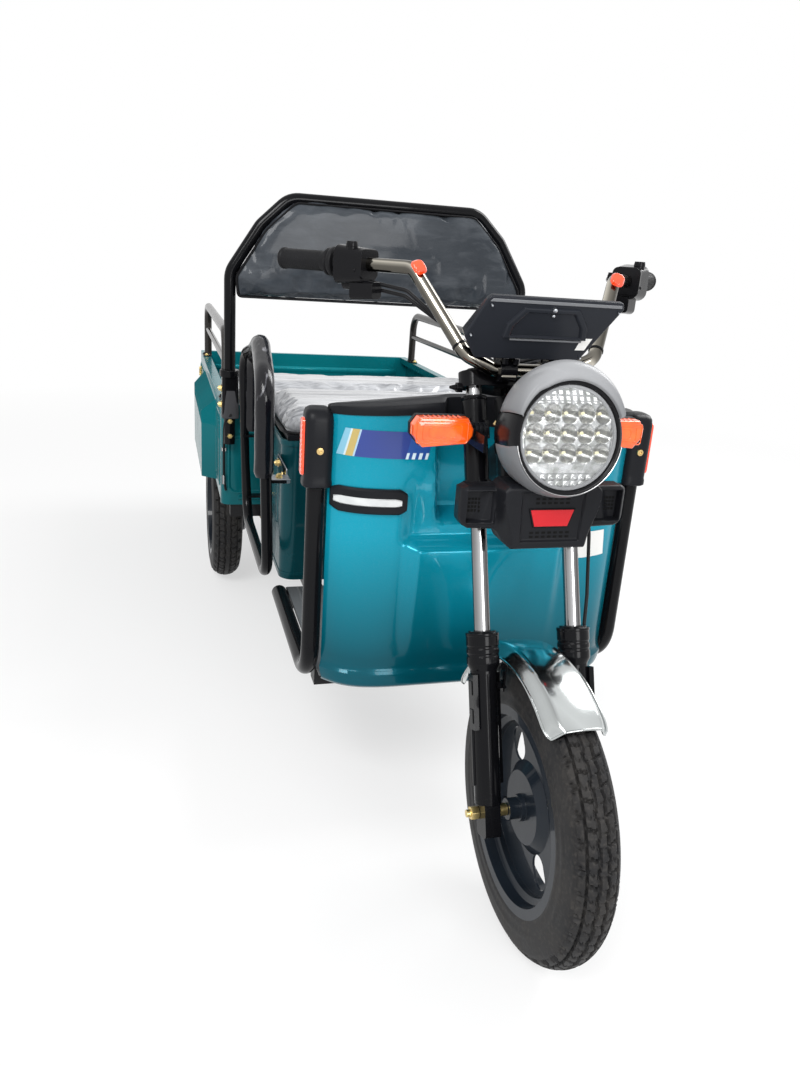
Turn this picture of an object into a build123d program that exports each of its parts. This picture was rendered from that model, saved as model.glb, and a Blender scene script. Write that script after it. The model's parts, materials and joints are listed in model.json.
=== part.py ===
from build123d import *
import os
from math import sin, cos, tan, radians, atan2, hypot

# Electric cargo tricycle, millimetres. It faces -Y, +X is its left side and Z = 0 is the ground.
# The origin is the middle of its footprint. Most places are given as a station behind the front axle.

# ---- driving dimensions ----
OVERALL_LENGTH = 2600.0
WHEELBASE = 1707.0
FRONT_TYRE_R = 238.0
FRONT_TYRE_W = 78.0
REAR_TYRE_R = 235.0
REAR_TYRE_W = 92.0
REAR_TRACK_HALF = 369.0
RAKE = 21.0
FORK_HALF = 79.0
FRONT_AXLE_Y = FRONT_TYRE_R - OVERALL_LENGTH / 2
RUN_FIT = 0.05
PIN_R = 4.0

# steering geometry: the legs and the steering axis are parallel, raked lines
LEG_Y_500 = 88.0
AXIS_OFFSET = 41.0
RAKE_TAN = tan(radians(RAKE))
RAKE_DIR = Vector(0, sin(radians(RAKE)), cos(radians(RAKE)))

# bodywork
SHEET = 2.5
SHIELD_HALF = 286.0
SHIELD_FRONT = 300.0
SHIELD_EDGE = 352.0
SHIELD_BOTTOM = 300.0
SHIELD_TOP = 812.0
SHIELD_LEDGE = 594.0
FLOOR_Z = 306.0
FLOOR_HALF = 286.0
SIDE_TUBE_X = 305.0
SIDE_TUBE_Y = 360.0
SIDE_TUBE_Z = 297.0
SIDE_TUBE_R = 17.0
SEAT_BOX_FRONT = 800.0
SEAT_BOX_REAR = 1192.0
SEAT_BOX_HALF = 302.0
SEAT_BOX_BOTTOM = 322.0
SEAT_BOX_TOP = 655.0
CUSHION_TOP = 716.0
BOX_FRONT = 1205.0
BOX_REAR = 2330.0
BOX_HALF = 410.0
BOX_FLOOR = 395.0
BOX_RIM = 660.0
BOX_CORNER_R = 26.0
RIM_W = 28.0
RIM_H = 22.0
WELL_INNER = 292.0
WELL_TOP = 525.0
WELL_HALF_LENGTH = 215.0
FLARE_X = 450.0
WALL_CREASES = (587.0, 405.0)
BEAD_HALF = 364.0
HOOP_X = 390.0
HOOP_Y = 1187.0
HOOP_R = 14.5
GUARD_X = 350.0
GUARD_R = 12.0
GUARD_PAD_R = 20.0
MIRROR_BACK = 152.0
MIRROR_HOLE_R = 5.0
MIRROR_HOLE_DEPTH = 16.2
PLATE_Z = 520.0
PLATE_SPACING = 110.0
PLATE_HOLE_R = 3.5
RAIL_X = 390.0
RAIL_R = 13.0
FRAME_X = 215.0
TAIL_PIVOT_Y = BOX_REAR + 24
TAIL_PIVOT_Z = BOX_FLOOR - 6
TAIL_HINGES = (-274, 0, 274)

PARTS = {}
os.makedirs("parts", exist_ok=True)


def st(behind):
    """Model Y of a station behind the front axle."""
    return FRONT_AXLE_Y + behind


def leg_y(z):
    return LEG_Y_500 + (z - 500.0) * RAKE_TAN


def axis_y(z):
    return leg_y(z) + AXIS_OFFSET


def on_leg(side, z):
    """Plane square to a fork leg at height z, its local x along X."""
    return Plane((side * FORK_HALF, st(leg_y(z)), z), x_dir=(1, 0, 0), z_dir=RAKE_DIR)


def on_axis(z):
    return Plane((0, st(axis_y(z)), z), x_dir=(1, 0, 0), z_dir=RAKE_DIR)


def along(z_low, z_high):
    """Length along the rake between two heights."""
    return (z_high - z_low) / cos(radians(RAKE))


def rod(start, end, radius):
    """Round bar between two points."""
    start = Vector(*start)
    end = Vector(*end)
    plane = Plane(start, z_dir=end - start)
    return extrude(plane * Circle(radius), (end - start).length)


def tube(points, radius, bend):
    """Bent round bar along a polyline with equal bend radii."""
    path = FilletPolyline(*points, radius=bend)
    section = Plane(path @ 0, z_dir=path % 0) * Circle(radius)
    return sweep(section, path=path)


def box(x0, x1, y0, y1, z0, z1):
    """Box between station and height limits, x as given."""
    block = Box(abs(x1 - x0), abs(y1 - y0), abs(z1 - z0))
    return Pos((x0 + x1) / 2, st((y0 + y1) / 2), (z0 + z1) / 2) * block


def turned(points, centre):
    """Solid of revolution about a line along X through centre; points are (x, radius)."""
    face = make_face(Plane.XZ * Polyline(*points, close=True))
    return Pos(*centre) * revolve(face, Axis.X, 360)


def mirrored(solid):
    return mirror(solid, about=Plane.YZ)


def both(make):
    """The same piece made for the left (+1) and the right (-1) side."""
    return [make(1), make(-1)]


def prism_x(points, x0, x1):
    """Profile of (station, z) points extruded along X."""
    profile = [(st(y), z) for y, z in points]
    face = make_face(Plane.YZ * Polyline(*profile, close=True))
    return Pos(x0, 0, 0) * extrude(face, x1 - x0, dir=(1, 0, 0))


def prism_z(points, z0, z1):
    """Profile of (x, station) points extruded along Z."""
    profile = [(x, st(y)) for x, y in points]
    face = make_face(Polyline(*profile, close=True))
    return Pos(0, 0, z0) * extrude(face, z1 - z0, dir=(0, 0, 1))


def prism_y(points, y0, y1):
    """Profile of (x, z) points extruded from one station to another."""
    face = make_face(Plane.XZ * Polyline(*points, close=True))
    return Pos(0, st(y0), 0) * extrude(face, y1 - y0, dir=(0, 1, 0))


def add(name, *solids):
    PARTS[name] = list(solids)


# ---- wheels ----
def tyre(radius, width, seat_r, centre):
    half = width / 2
    bead = half - 5
    crown = half * 0.86
    shoulder_r = radius - 17
    left = Polyline((-bead, seat_r), (-bead, seat_r + 14))
    side_l = ThreePointArc((-bead, seat_r + 14), (-half, (seat_r + shoulder_r) / 2 + 8), (-crown, shoulder_r))
    top = ThreePointArc((-crown, shoulder_r), (0, radius), (crown, shoulder_r))
    side_r = ThreePointArc((crown, shoulder_r), (half, (seat_r + shoulder_r) / 2 + 8), (bead, seat_r + 14))
    right = Polyline((bead, seat_r + 14), (bead, seat_r), (-bead, seat_r))
    face = make_face(Plane.XZ * Wire([*left.edges(), *side_l.edges(), *top.edges(), *side_r.edges(), *right.edges()]))
    return Pos(*centre) * revolve(face, Axis.X, 360)


def barrel(half, seat_r, centre):
    """Drop-centre rim between its two flanges."""
    outer = [
        (-half, seat_r + 14), (-half + 3, seat_r + 14), (-half + 4, seat_r), (-half * 0.45, seat_r - 2),
        (-half * 0.33, seat_r - 12), (half * 0.33, seat_r - 12), (half * 0.45, seat_r - 2),
        (half - 4, seat_r), (half - 3, seat_r + 14), (half, seat_r + 14),
    ]
    inner = [
        (half - 0.6, seat_r - 3), (half * 0.5, seat_r - 5.5), (half * 0.38, seat_r - 15.5),
        (-half * 0.38, seat_r - 15.5), (-half * 0.5, seat_r - 5.5), (-half + 0.6, seat_r - 3),
    ]
    return turned(outer + inner, centre)


def slotted_disc(profile, slots, slot_r, slot_long, slot_wide, phase, centre):
    """Pressed disc with ovals spaced round it."""
    disc = turned(profile, centre)
    for i in range(slots):
        turn = phase + i * 360.0 / slots
        oval = Pos(0, 0, slot_r) * (Plane.YZ * SlotOverall(slot_long, slot_wide, rotation=90))
        cutter = Pos(-60, 0, 0) * extrude(oval, 120)
        disc -= Pos(*centre) * (Rot(turn, 0, 0) * cutter)
    return disc


FRONT_HUB = (0, st(0), FRONT_TYRE_R)
FRONT_SEAT_R = 152.0
AXLE_R = 6.0

add("front_tyre", tyre(FRONT_TYRE_R, FRONT_TYRE_W, FRONT_SEAT_R, FRONT_HUB))
front_disc = slotted_disc(
    [(-18, 20), (-18, 58), (-5, 74), (-5, 137), (-1, 137), (-1, 72), (-14, 56), (-14, 20)],
    4, 100, 54, 40, 52, FRONT_HUB,
)
front_hub = turned([(-44, AXLE_R + RUN_FIT), (-44, 17), (-26, 17), (-26, 21), (8, 24), (8, 62), (38, 62),
                    (38, 54), (14, 54), (14, AXLE_R + RUN_FIT)], FRONT_HUB)
add("front_rim", barrel(38, FRONT_SEAT_R, FRONT_HUB) + front_disc + front_hub)


def rear_wheel(side):
    name = "left" if side > 0 else "right"
    hub = (side * REAR_TRACK_HALF, st(WHEELBASE), REAR_TYRE_R)
    add("rear_tyre_" + name, tyre(REAR_TYRE_R, REAR_TYRE_W, FRONT_SEAT_R, hub))
    disc = slotted_disc(
        [(6, 30), (6, 62), (-2, 78), (-2, 137), (2, 137), (2, 80), (10, 64), (10, 30)],
        5, 104, 46, 26, 18, (0, 0, 0),
    )
    core = turned([(-62, 18), (-62, 88), (-58, 88), (-24, 92), (-20, 92), (-20, 40), (14, 36), (22, 30),
                   (22, 14), (-16, 14), (-16, 18)], (0, 0, 0))
    drum_room = turned([(-66, 20.0), (-66, 84), (-26, 84), (-26, 20.0)], (0, 0, 0))
    wheel = barrel(45, FRONT_SEAT_R, (0, 0, 0)) + disc + (core - drum_room)
    if side < 0:
        wheel = mirrored(wheel)
    add("rear_rim_" + name, Pos(*hub) * wheel)


rear_wheel(1)
rear_wheel(-1)

# ---- fork, on the steering ----
LOWER_R = 21.0
STANCHION_R = 13.0
PANEL_Y = 84.0
PANEL_T = 30.0
NOSE_Y = 57.0
COLLAR_LOW = 462.0
COLLAR_TOP = 509.0


def fork_lower(side):
    """Lower leg with its axle lug, seal collar, reflector bracket and fender lug."""
    leg = extrude(on_leg(side, 258) * Circle(LOWER_R), along(258, COLLAR_LOW))
    leg += extrude(on_leg(side, COLLAR_LOW) * Circle(25), along(COLLAR_LOW, COLLAR_TOP - 8))
    leg += extrude(on_leg(side, COLLAR_TOP - 8) * Circle(21), along(COLLAR_TOP - 8, COLLAR_TOP))
    lug = on_leg(side, 236) * Box(26, 40, 56)
    leg += fillet(lug.edges().filter_by(Axis.X), 9)
    hole = Pos(0, st(0), FRONT_TYRE_R) * (Rot(0, 90, 0) * Cylinder(AXLE_R, 400))
    leg += on_leg(side, 408) * Pos(side * 21, -8, 0) * Box(8, 22, 86)
    leg += on_leg(side, 430) * Pos(-side * 20, 4, 0) * Box(12, 26, 8)
    return leg - hole


add("fork_lowers", *both(fork_lower))
add("fork_stanchions", *both(lambda s: extrude(on_leg(s, COLLAR_TOP) * Circle(STANCHION_R), along(COLLAR_TOP, 896))))

LOWER_CLAMP_Z = 668.0
UPPER_CLAMP_Z = 857.5
LOWER_CLAMP_T = 24.0
UPPER_CLAMP_T = 26.0
LEG_RISE = AXIS_OFFSET * cos(radians(RAKE)) * sin(radians(RAKE))


def clamp_plate(z, thick):
    """Yoke joining both legs and the steering stem."""
    outline = [(-FORK_HALF, -AXIS_OFFSET * cos(radians(RAKE))), (FORK_HALF, -AXIS_OFFSET * cos(radians(RAKE)))]
    plate = on_axis(z) * extrude(make_hull([
        *(Pos(*outline[0]) * Circle(24)).edges(), *(Pos(*outline[1]) * Circle(24)).edges(), *Circle(28).edges(),
    ]), thick)
    for x, y in outline:
        plate -= on_axis(z) * Pos(x, y, thick / 2) * Cylinder(STANCHION_R + RUN_FIT, thick * 4)
    return plate


HEAD_LOW = 698.0
STALK_END = 104.0
STALK_LOW = 803.0
STALK_TOP = 825.0
HEAD_HIGH = 850.0
stem = extrude(on_axis(LOWER_CLAMP_Z) * Circle(15), along(LOWER_CLAMP_Z, UPPER_CLAMP_Z + 10))
add("steering_stem", clamp_plate(LOWER_CLAMP_Z, LOWER_CLAMP_T) + clamp_plate(UPPER_CLAMP_Z, UPPER_CLAMP_T) + stem)


def fork_cover(side):
    """Black sleeve over the upper stanchion, between the yokes, with the arms that carry the lamps."""
    low = LOWER_CLAMP_Z + LEG_RISE + LOWER_CLAMP_T * cos(radians(RAKE))
    ring = Circle(19.5) - Circle(STANCHION_R + RUN_FIT)
    sleeve = extrude(on_leg(side, low) * ring, along(low, 852))
    band = extrude(on_leg(side, 796) * (Circle(23) - Circle(STANCHION_R + RUN_FIT)), 26)
    arm = box(side * 92, side * 97, 118, 205, 792, 818)
    arm += box(side * 97, side * STALK_END, 163, 186, STALK_LOW, STALK_TOP)
    arm -= extrude(on_leg(side, 740) * Circle(22), 140)
    lower_band = extrude(on_leg(side, 716) * (Circle(23) - Circle(STANCHION_R + RUN_FIT)), 18)
    strut = box(side * 74, side * 84, PANEL_Y + PANEL_T, leg_y(722) - 18, 714, 730)
    return sleeve + band + arm + lower_band + strut


add("fork_covers", *both(fork_cover))

# front axle with the brake plate that stays with the fork
axle = rod((-112, st(0), FRONT_TYRE_R), (112, st(0), FRONT_TYRE_R), AXLE_R)
plate = turned([(40, 0), (40, 63), (44, 63), (46, 20), (64, 12), (64, 0)], FRONT_HUB)
nuts = both(lambda s: Pos(s * 98.8, st(0), FRONT_TYRE_R) * (Rot(0, 90, 0) * extrude(RegularPolygon(11, 6), 6.5, both=True)))
spacer = turned([(-45, 0), (-45, 10), (-64, 10), (-64, 0)], FRONT_HUB)
add("front_axle", axle + plate + spacer + nuts[0] + nuts[1])

# ---- fender ----
FENDER_R = 255.0
FENDER_Y = 21.8
FENDER_T = 2.0


def fender_section(radius, thick):
    """Crowned strip with turned-down edges."""
    half = 50.0
    outer = [(-half, radius - 20), (-half + 2, radius - 12), (-34, radius - 3), (0, radius + 3),
             (34, radius - 3), (half - 2, radius - 12), (half, radius - 20)]
    inner = [(half - thick, radius - 20), (half - 2 - thick, radius - 12 - thick / 2), (33, radius - 3 - thick),
             (0, radius + 3 - thick), (-33, radius - 3 - thick), (-half + 2 + thick, radius - 12 - thick / 2),
             (-half + thick, radius - 20)]
    return outer + inner


fender_face = make_face(Plane.XZ * Polyline(*fender_section(FENDER_R, FENDER_T), close=True))
fender_front = 34.0
fender_back = 66.0
fender = revolve(Rot(fender_front, 0, 0) * fender_face, Axis.X, -(fender_front + fender_back))
fender = Pos(0, st(FENDER_Y), FRONT_TYRE_R) * fender
add("front_fender", fender)

# ---- head unit ----
LAMP_Y = 35.0
LAMP_Z = 834.0
LAMP_TILT = 7.84
LENS_R = 76.0
HOOD_RISE = 14.0
lamp_frame = Plane((0, st(LAMP_Y), LAMP_Z), x_dir=(1, 0, 0), z_dir=(0, cos(radians(LAMP_TILT)), -sin(radians(LAMP_TILT))))


def lamp_turned(points):
    """Revolved about the lamp's axis; points are (radius, depth behind the lens face)."""
    face = make_face(Plane.XZ * Polyline(*points, close=True))
    return lamp_frame * revolve(face, Axis.Z, 360)


def lamp_oval(depth, half_wide, half_tall):
    """Oval section of the hood, raised above the lamp's axis, at a depth behind the lens face."""
    return lamp_frame * (Pos(0, -HOOD_RISE, depth) * Ellipse(half_wide, half_tall))


lamp_body = lamp_turned([(0, -2), (LENS_R + 0.5, -2), (LENS_R + 7, -4), (88, 8), (90, 22), (90, 45),
                         (86, 80), (74, 108), (50, 120), (0, 122)])
hood_sections = [(-12, 84, 95), (20, 90, 97), (60, 86, 90), (100, 68, 68)]
hood = loft([lamp_oval(*section).face() for section in hood_sections])
hood -= extrude(lamp_oval(-30, 81, 92), 33)
hood -= lamp_frame * (Pos(0, 70, 40) * Box(300, 200, 200))
lamp_ears = both(lambda s: box(s * 70, s * 92, 120, 142, 796, 814))
lamp_body = lamp_body + hood + lamp_ears[0] + lamp_ears[1]
lamp_body -= lamp_turned([(0, -40), (LENS_R + 0.5, -40), (LENS_R + 0.5, 8.2), (LENS_R - 4, 8.2),
                          (LENS_R - 4, 30), (60, 84), (40, 98), (0, 100)])
add("headlight_shell", lamp_body)
add("headlight_lens", lamp_turned([(0, -6), (40, -4), (LENS_R, 1), (LENS_R, 8), (0, 8)]))

wing_half = [(136, 755), (136, 692), (124, 683), (60, 681)]
nose_half = [(74, 755), (74, 676), (62, 658)]
wings = prism_y([(-x, z) for x, z in wing_half] + wing_half[::-1], PANEL_Y, PANEL_Y + PANEL_T)
nose = prism_y([(-x, z) for x, z in nose_half] + nose_half[::-1], NOSE_Y, PANEL_Y + PANEL_T)
panel = fillet(wings.edges().filter_by(Axis.Y), 2) + fillet(nose.edges().filter_by(Axis.Y), 2)
lamp_room = lamp_turned([(0, -20), (94, -20), (94, 130), (0, 130)])
add("front_panel", panel - lamp_room)


def signal(side):
    """Turn signal: a hexagonal lens."""
    points = [(side * STALK_END, STALK_LOW - 1), (side * STALK_END, STALK_TOP + 1), (side * 112, 838), (side * 190, 839), (side * 197, 832), (side * 197, 796),
              (side * 188, 789), (side * 112, 790)]
    return fillet(prism_y(points, 158, 190).edges().filter_by(Axis.Y), 3)


add("turn_signals", *both(signal))

INST_NORMAL = Vector(0, 0.906, 0.423)
INST_DEPTH = 27.0
inst_plane = Plane((0, st(152), 977), x_dir=(1, 0, 0), z_dir=INST_NORMAL)
inst_half = [(101, 46), (115, 33), (121, 2), (112, -18), (86, -52)]
inst_outline = [(-x, y) for x, y in inst_half] + inst_half[::-1]
inst = extrude(inst_plane * make_face(Polyline(*inst_outline, close=True)), INST_DEPTH)
add("instrument_box", fillet(inst.edges().filter_by(lambda e: e.length > 40), 5))

# ---- handlebar ----
BAR_R = 11.0
bar_points = [(-352, 483, 1047), (-176, 291, 1048), (-110, 201, 928), (-60, 201, 905)]
bar_points = bar_points + [(-x, y, z) for x, y, z in reversed(bar_points)]
bar_points = [(x, st(y), z) for x, y, z in bar_points]
handlebar = tube(bar_points, BAR_R, 26)
riser = both(lambda s: on_axis(UPPER_CLAMP_Z) * (Pos(s * 40, -77, 24) * Box(24, 29, 34) + Pos(s * 40, -58, 34) * Box(24, 26, 15.9)))
add("handlebar", handlebar + riser[0] + riser[1])

grip_dir = Vector(352 - 176, 483 - 291, 1047 - 1048).normalized()


def on_bar(side, back):
    """Plane square to the bar end, back millimetres in from its tip, looking inwards."""
    tip = Vector(side * 352, st(483), 1047)
    inward = Vector(-side * grip_dir.X, -grip_dir.Y, -grip_dir.Z)
    return Plane(tip + inward * back, x_dir=(0, 0, 1), z_dir=inward)


add("grips", *both(lambda s: extrude(on_bar(s, -4) * Circle(16.5), 128)
                   - extrude(on_bar(s, 0) * Circle(BAR_R), 140)))


def control(side):
    """Switch housing with the brake lever pivot."""
    body = extrude(on_bar(side, 126) * RectangleRounded(46, 50, 10), 52)
    body -= extrude(on_bar(side, 120) * Circle(BAR_R + RUN_FIT), 80)
    if side > 0:
        body -= on_bar(side, 148) * Pos(0, 25, 0) * Box(16, 16, 30)
    body += on_bar(side, 136) * Pos(-30, 0, 8) * Cylinder(12, 26)
    boss = on_bar(side, MIRROR_BACK) * Pos(0, -side * 15, 0) * (Rot(0, 90, 0) * Pos(0, 0, 27) * Cylinder(9, 14))
    hole = on_bar(side, MIRROR_BACK) * Pos(0, -side * 15, 0) * (Rot(0, 90, 0) * Pos(0, 0, 26) * Cylinder(MIRROR_HOLE_R, MIRROR_HOLE_DEPTH))
    return body + boss - hole


add("control_housings", *both(control))


def lever():
    """Front brake lever ahead of the left grip."""
    tip = on_bar(1, 30).from_local_coords((0, 52, 0))
    bend = on_bar(1, 118).from_local_coords((0, 44, 0))
    root = on_bar(1, 150).from_local_coords((0, 30, 0))
    return rod(tip, bend, 5) + rod(bend, root, 6) + Pos(*bend) * Sphere(6) + Pos(*tip) * Sphere(7.5)


add("brake_lever", lever())

# cables: throttle and brake lines along the bar, and the front brake line down to the wheel
def cable(points, radius, bend):
    return tube([(x, st(y), z) for x, y, z in points], radius, bend)


def bar_cable(side, lift):
    return cable([(side * 236, 370 + lift, 1022 - lift), (side * 176, 318 + lift, 1012 - lift), (side * 118, 262 + lift, 960),
                  (side * 66, 268 + lift, 925), (side * 20, 300 + lift, 905)], 3.2, 26)


brake_line = cable([(100, 150, 812), (108, 163, 735), (127, 166, 640), (120, 132, 545), (104, 94, 450), (100, 84, 400),
                    (82, 60, 330), (57, 12, 262)], 3.0, 26)
add("control_cables", bar_cable(1, 0), bar_cable(-1, 0), bar_cable(1, 9), bar_cable(-1, 9), brake_line)

# ---- chassis ----
head = extrude(on_axis(HEAD_LOW) * Circle(27), along(HEAD_LOW, HEAD_HIGH))
head_bore = extrude(on_axis(HEAD_LOW - 20) * Circle(15 + RUN_FIT), along(HEAD_LOW, HEAD_HIGH) + 60)
neck = tube([(0, st(axis_y(766) + 20), 766), (0, st(404), 668), (0, st(410), 285)], 24, 60)
rail_front = both(lambda s: box(s * (FRAME_X - 15), s * (FRAME_X + 15), 395, 1240, 262, 304))
rail_step = both(lambda s: box(s * (FRAME_X - 15), s * (FRAME_X + 15), 1209, 1245, 262, 390))
rail_rear = both(lambda s: box(s * (FRAME_X - 15), s * (FRAME_X + 15), 1209, 2325, 340, 390))
crosses = [
    box(-SIDE_TUBE_X + SIDE_TUBE_R, SIDE_TUBE_X - SIDE_TUBE_R, 398, 436, 264, 304),
    box(-SIDE_TUBE_X + SIDE_TUBE_R, SIDE_TUBE_X - SIDE_TUBE_R, 765, 800, 264, 304),
    box(-FRAME_X, FRAME_X, 1205, 1240, 264, 304),
    box(-BOX_HALF + 25, BOX_HALF - 25, 1210, 1245, 350, 390),
    box(-BOX_HALF + 25, BOX_HALF - 25, 2285, 2325, 350, 390),
    box(-FRAME_X, FRAME_X, 1690, 1725, 350, 390),
]
frame = (head + neck) - head_bore
for piece in rail_front + rail_step + rail_rear + crosses:
    frame += piece


SPRING_HALF = 310.0
SPRING_EYE_Z = 316.0
SPRING_PIN_R = 6.0


def hanger(side, station):
    """Spring hanger: two cheeks under the rail and the pin between them."""
    cheeks = box(side * (FRAME_X - 30), side * (FRAME_X - 26), station - 16, station + 16, 300, 342)
    cheeks += box(side * (FRAME_X + 26), side * (FRAME_X + 30), station - 16, station + 16, 300, 342)
    cheeks += box(side * (FRAME_X - 30), side * (FRAME_X + 30), station - 16, station + 16, 338, 344)
    pin = rod((side * (FRAME_X - 32), st(station), SPRING_EYE_Z), (side * (FRAME_X + 32), st(station), SPRING_EYE_Z), SPRING_PIN_R)
    return cheeks + pin


for side in (1, -1):
    for end in (-1, 1):
        frame += hanger(side, WHEELBASE + end * SPRING_HALF)
for x in TAIL_HINGES:
    for offset in (-20, 20):
        lug_x = x + offset
        frame += box(lug_x - 4, lug_x + 4, 2320, TAIL_PIVOT_Y + 8, TAIL_PIVOT_Z - 8, TAIL_PIVOT_Z + 2)
        frame += rod((lug_x - 4, st(TAIL_PIVOT_Y), TAIL_PIVOT_Z), (lug_x + 4, st(TAIL_PIVOT_Y), TAIL_PIVOT_Z), 8)
    frame += rod((x - 22, st(TAIL_PIVOT_Y), TAIL_PIVOT_Z), (x + 22, st(TAIL_PIVOT_Y), TAIL_PIVOT_Z), PIN_R)
add("main_frame", frame)


def spring(side):
    """Three-leaf spring with rolled eyes."""
    low = 285.0
    sag = SPRING_EYE_Z - low
    big = (SPRING_HALF ** 2 + sag ** 2) / (2 * sag)
    centre = (st(WHEELBASE), low + big)
    body = None
    for i, reach in enumerate((SPRING_HALF - 6, 220.0, 130.0)):
        r0 = big + 6 * i
        a0 = atan2(reach, big)
        ring = Circle(r0 + 6) - Circle(r0)
        y_reach = (r0 + 6) * sin(a0)
        window = Pos(0, -r0, 0) * Rectangle(2 * y_reach, 120)
        leaf = Pos(side * FRAME_X - 22.5, 0, 0) * extrude(Plane.YZ * (Pos(*centre) * (ring & window)), 45)
        body = leaf if body is None else body + leaf
    for end in (-1, 1):
        eye = rod((side * FRAME_X - 22.5, st(WHEELBASE + end * SPRING_HALF), SPRING_EYE_Z),
                  (side * FRAME_X + 22.5, st(WHEELBASE + end * SPRING_HALF), SPRING_EYE_Z), 12)
        body += eye
    for end in (-1, 1):
        body -= rod((side * FRAME_X - 40, st(WHEELBASE + end * SPRING_HALF), SPRING_EYE_Z),
                    (side * FRAME_X + 40, st(WHEELBASE + end * SPRING_HALF), SPRING_EYE_Z), SPRING_PIN_R + RUN_FIT)
    return body


add("leaf_springs", *both(spring))

AXLE_TUBE_R = 27.0
rear_hub = (0, st(WHEELBASE), REAR_TYRE_R)
DRUM_FACE = REAR_TRACK_HALF - 62
axle_tube = rod((-DRUM_FACE + 2, rear_hub[1], REAR_TYRE_R), (DRUM_FACE - 2, rear_hub[1], REAR_TYRE_R), AXLE_TUBE_R)
half_shaft = rod((-REAR_TRACK_HALF - 14, rear_hub[1], REAR_TYRE_R), (REAR_TRACK_HALF + 14, rear_hub[1], REAR_TYRE_R), 14 - RUN_FIT)
back_plates = both(lambda s: turned([(s * (DRUM_FACE - 6), 0), (s * (DRUM_FACE - 6), 86), (s * (DRUM_FACE - 1.5), 86), (s * (DRUM_FACE - 1.5), 0)], rear_hub))
gear_case = turned([(-70, 0), (-70, 60), (-48, 84), (40, 84), (58, 60), (58, 0)], rear_hub)
motor = turned([(58, 0), (58, 66), (66, 74), (150, 74), (158, 66), (158, 0)], rear_hub)
seats = both(lambda s: box(s * (FRAME_X - 26), s * (FRAME_X + 26), WHEELBASE - 34, WHEELBASE + 34, 250, 267))
rear_axle = axle_tube + half_shaft + back_plates[0] + back_plates[1] + gear_case + motor + seats[0] + seats[1]
add("rear_axle", rear_axle)

# floor and side tubes
floor = box(-FLOOR_HALF, FLOOR_HALF, 358, 797, FLOOR_Z - 2, FLOOR_Z)
floor -= box(-27, 27, 378, 438, 200, 400)
for s in (1, -1):
    floor += box(s * (FLOOR_HALF - 2), s * FLOOR_HALF, 437, 764, FLOOR_Z - 8, FLOOR_Z)
add("floor_board", floor)


def side_tube(side):
    x = side * SIDE_TUBE_X
    points = [(x, SIDE_TUBE_Y, 800), (x, SIDE_TUBE_Y, SIDE_TUBE_Z), (x, 790, SIDE_TUBE_Z)]
    return tube([(a, st(b), c) for a, b, c in points], SIDE_TUBE_R, 78)


add("side_tubes", *both(side_tube))


def shield_plan(inset):
    """Plan section of the leg shield, bowed round its corners and open behind its side edges."""
    half = SHIELD_HALF - inset
    front = SHIELD_FRONT + inset
    corner = (240 - 0.6 * inset, st(SHIELD_FRONT + 17.5 + inset))
    left = ThreePointArc((-half, st(SHIELD_EDGE)), (-corner[0], corner[1]), (-150, st(front)))
    middle = Line((-150, st(front)), (150, st(front)))
    right = ThreePointArc((150, st(front)), corner, (half, st(SHIELD_EDGE)))
    back = Polyline((half, st(SHIELD_EDGE)), (half, st(430)), (-half, st(430)), (-half, st(SHIELD_EDGE)))
    return make_face([*left.edges(), *middle.edges(), *right.edges(), *back.edges()])


def shield_solid(inset):
    """Filled form of the shield, inset by a sheet's thickness for its inside."""
    body = Pos(0, 0, SHIELD_BOTTOM + 30) * extrude(shield_plan(inset), SHIELD_TOP - SHIELD_BOTTOM - 30 + 2 * inset)
    skirt = extrude(shield_plan(inset - 6), 38 - inset + 10 * (inset > 0))
    body += Pos(0, 0, SHIELD_BOTTOM - 10 * (inset > 0)) * skirt
    swell = prism_x([(284 + inset, 302), (284 + inset, 571 - inset), (326, SHIELD_LEDGE + 8 - inset), (326, 302)], -170, 170)
    swell &= prism_z([(-158 + inset, 326), (-130 + inset, 282), (130 - inset, 282), (158 - inset, 326)], 300, 640)
    body += swell
    recess_low = SHIELD_LEDGE - inset
    body -= prism_z([(-168 - inset, 280), (-142 - inset, 316 + inset), (142 + inset, 316 + inset), (168 + inset, 280)],
                    recess_low, SHIELD_TOP + 40)
    body -= prism_z([(-114 - inset, 290), (-92 - inset, 350 + inset), (92 + inset, 350 + inset), (114 + inset, 290)],
                    626 - inset, SHIELD_TOP + 40)
    return body


shield = shield_solid(0) - shield_solid(SHEET)
shield -= box(-400, 400, 356, 500, 0, 1000)
shield -= box(-30, 30, 280, 400, 640, SHIELD_TOP - 1)
shield += box(-SHIELD_HALF + 4, SHIELD_HALF - 4, 340, 357.5, SHIELD_BOTTOM, SHIELD_BOTTOM + SHEET)
add("front_shield", shield)

# black moulding over the shield's top edge, its inner lining and the corner caps over the tube ends
crown = Pos(0, 0, SHIELD_TOP + 0.3) * extrude(shield_plan(-2), 30)
crown &= prism_y([(-284, 800), (284, 800), (284, 819), (172, 831), (74, 840), (-74, 840), (-172, 831), (-284, 819)], 280, 378)
crown -= box(-92, 92, 280, 346, 780, 860)
crown += box(-278, 278, 358, 376, 690, SHIELD_TOP + 1) - box(-262, 262, 362, 380, 700, 800)
crown -= box(-34, 34, 340, 400, 600, 800)


def shield_cap(side):
    block = fillet(box(side * 286.8, side * 329, 338, 386, 680, 808).edges().filter_by(Axis.Z), 9)
    return block - rod((side * SIDE_TUBE_X, st(SIDE_TUBE_Y), 600), (side * SIDE_TUBE_X, st(SIDE_TUBE_Y), 800.1), SIDE_TUBE_R + RUN_FIT)


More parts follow.
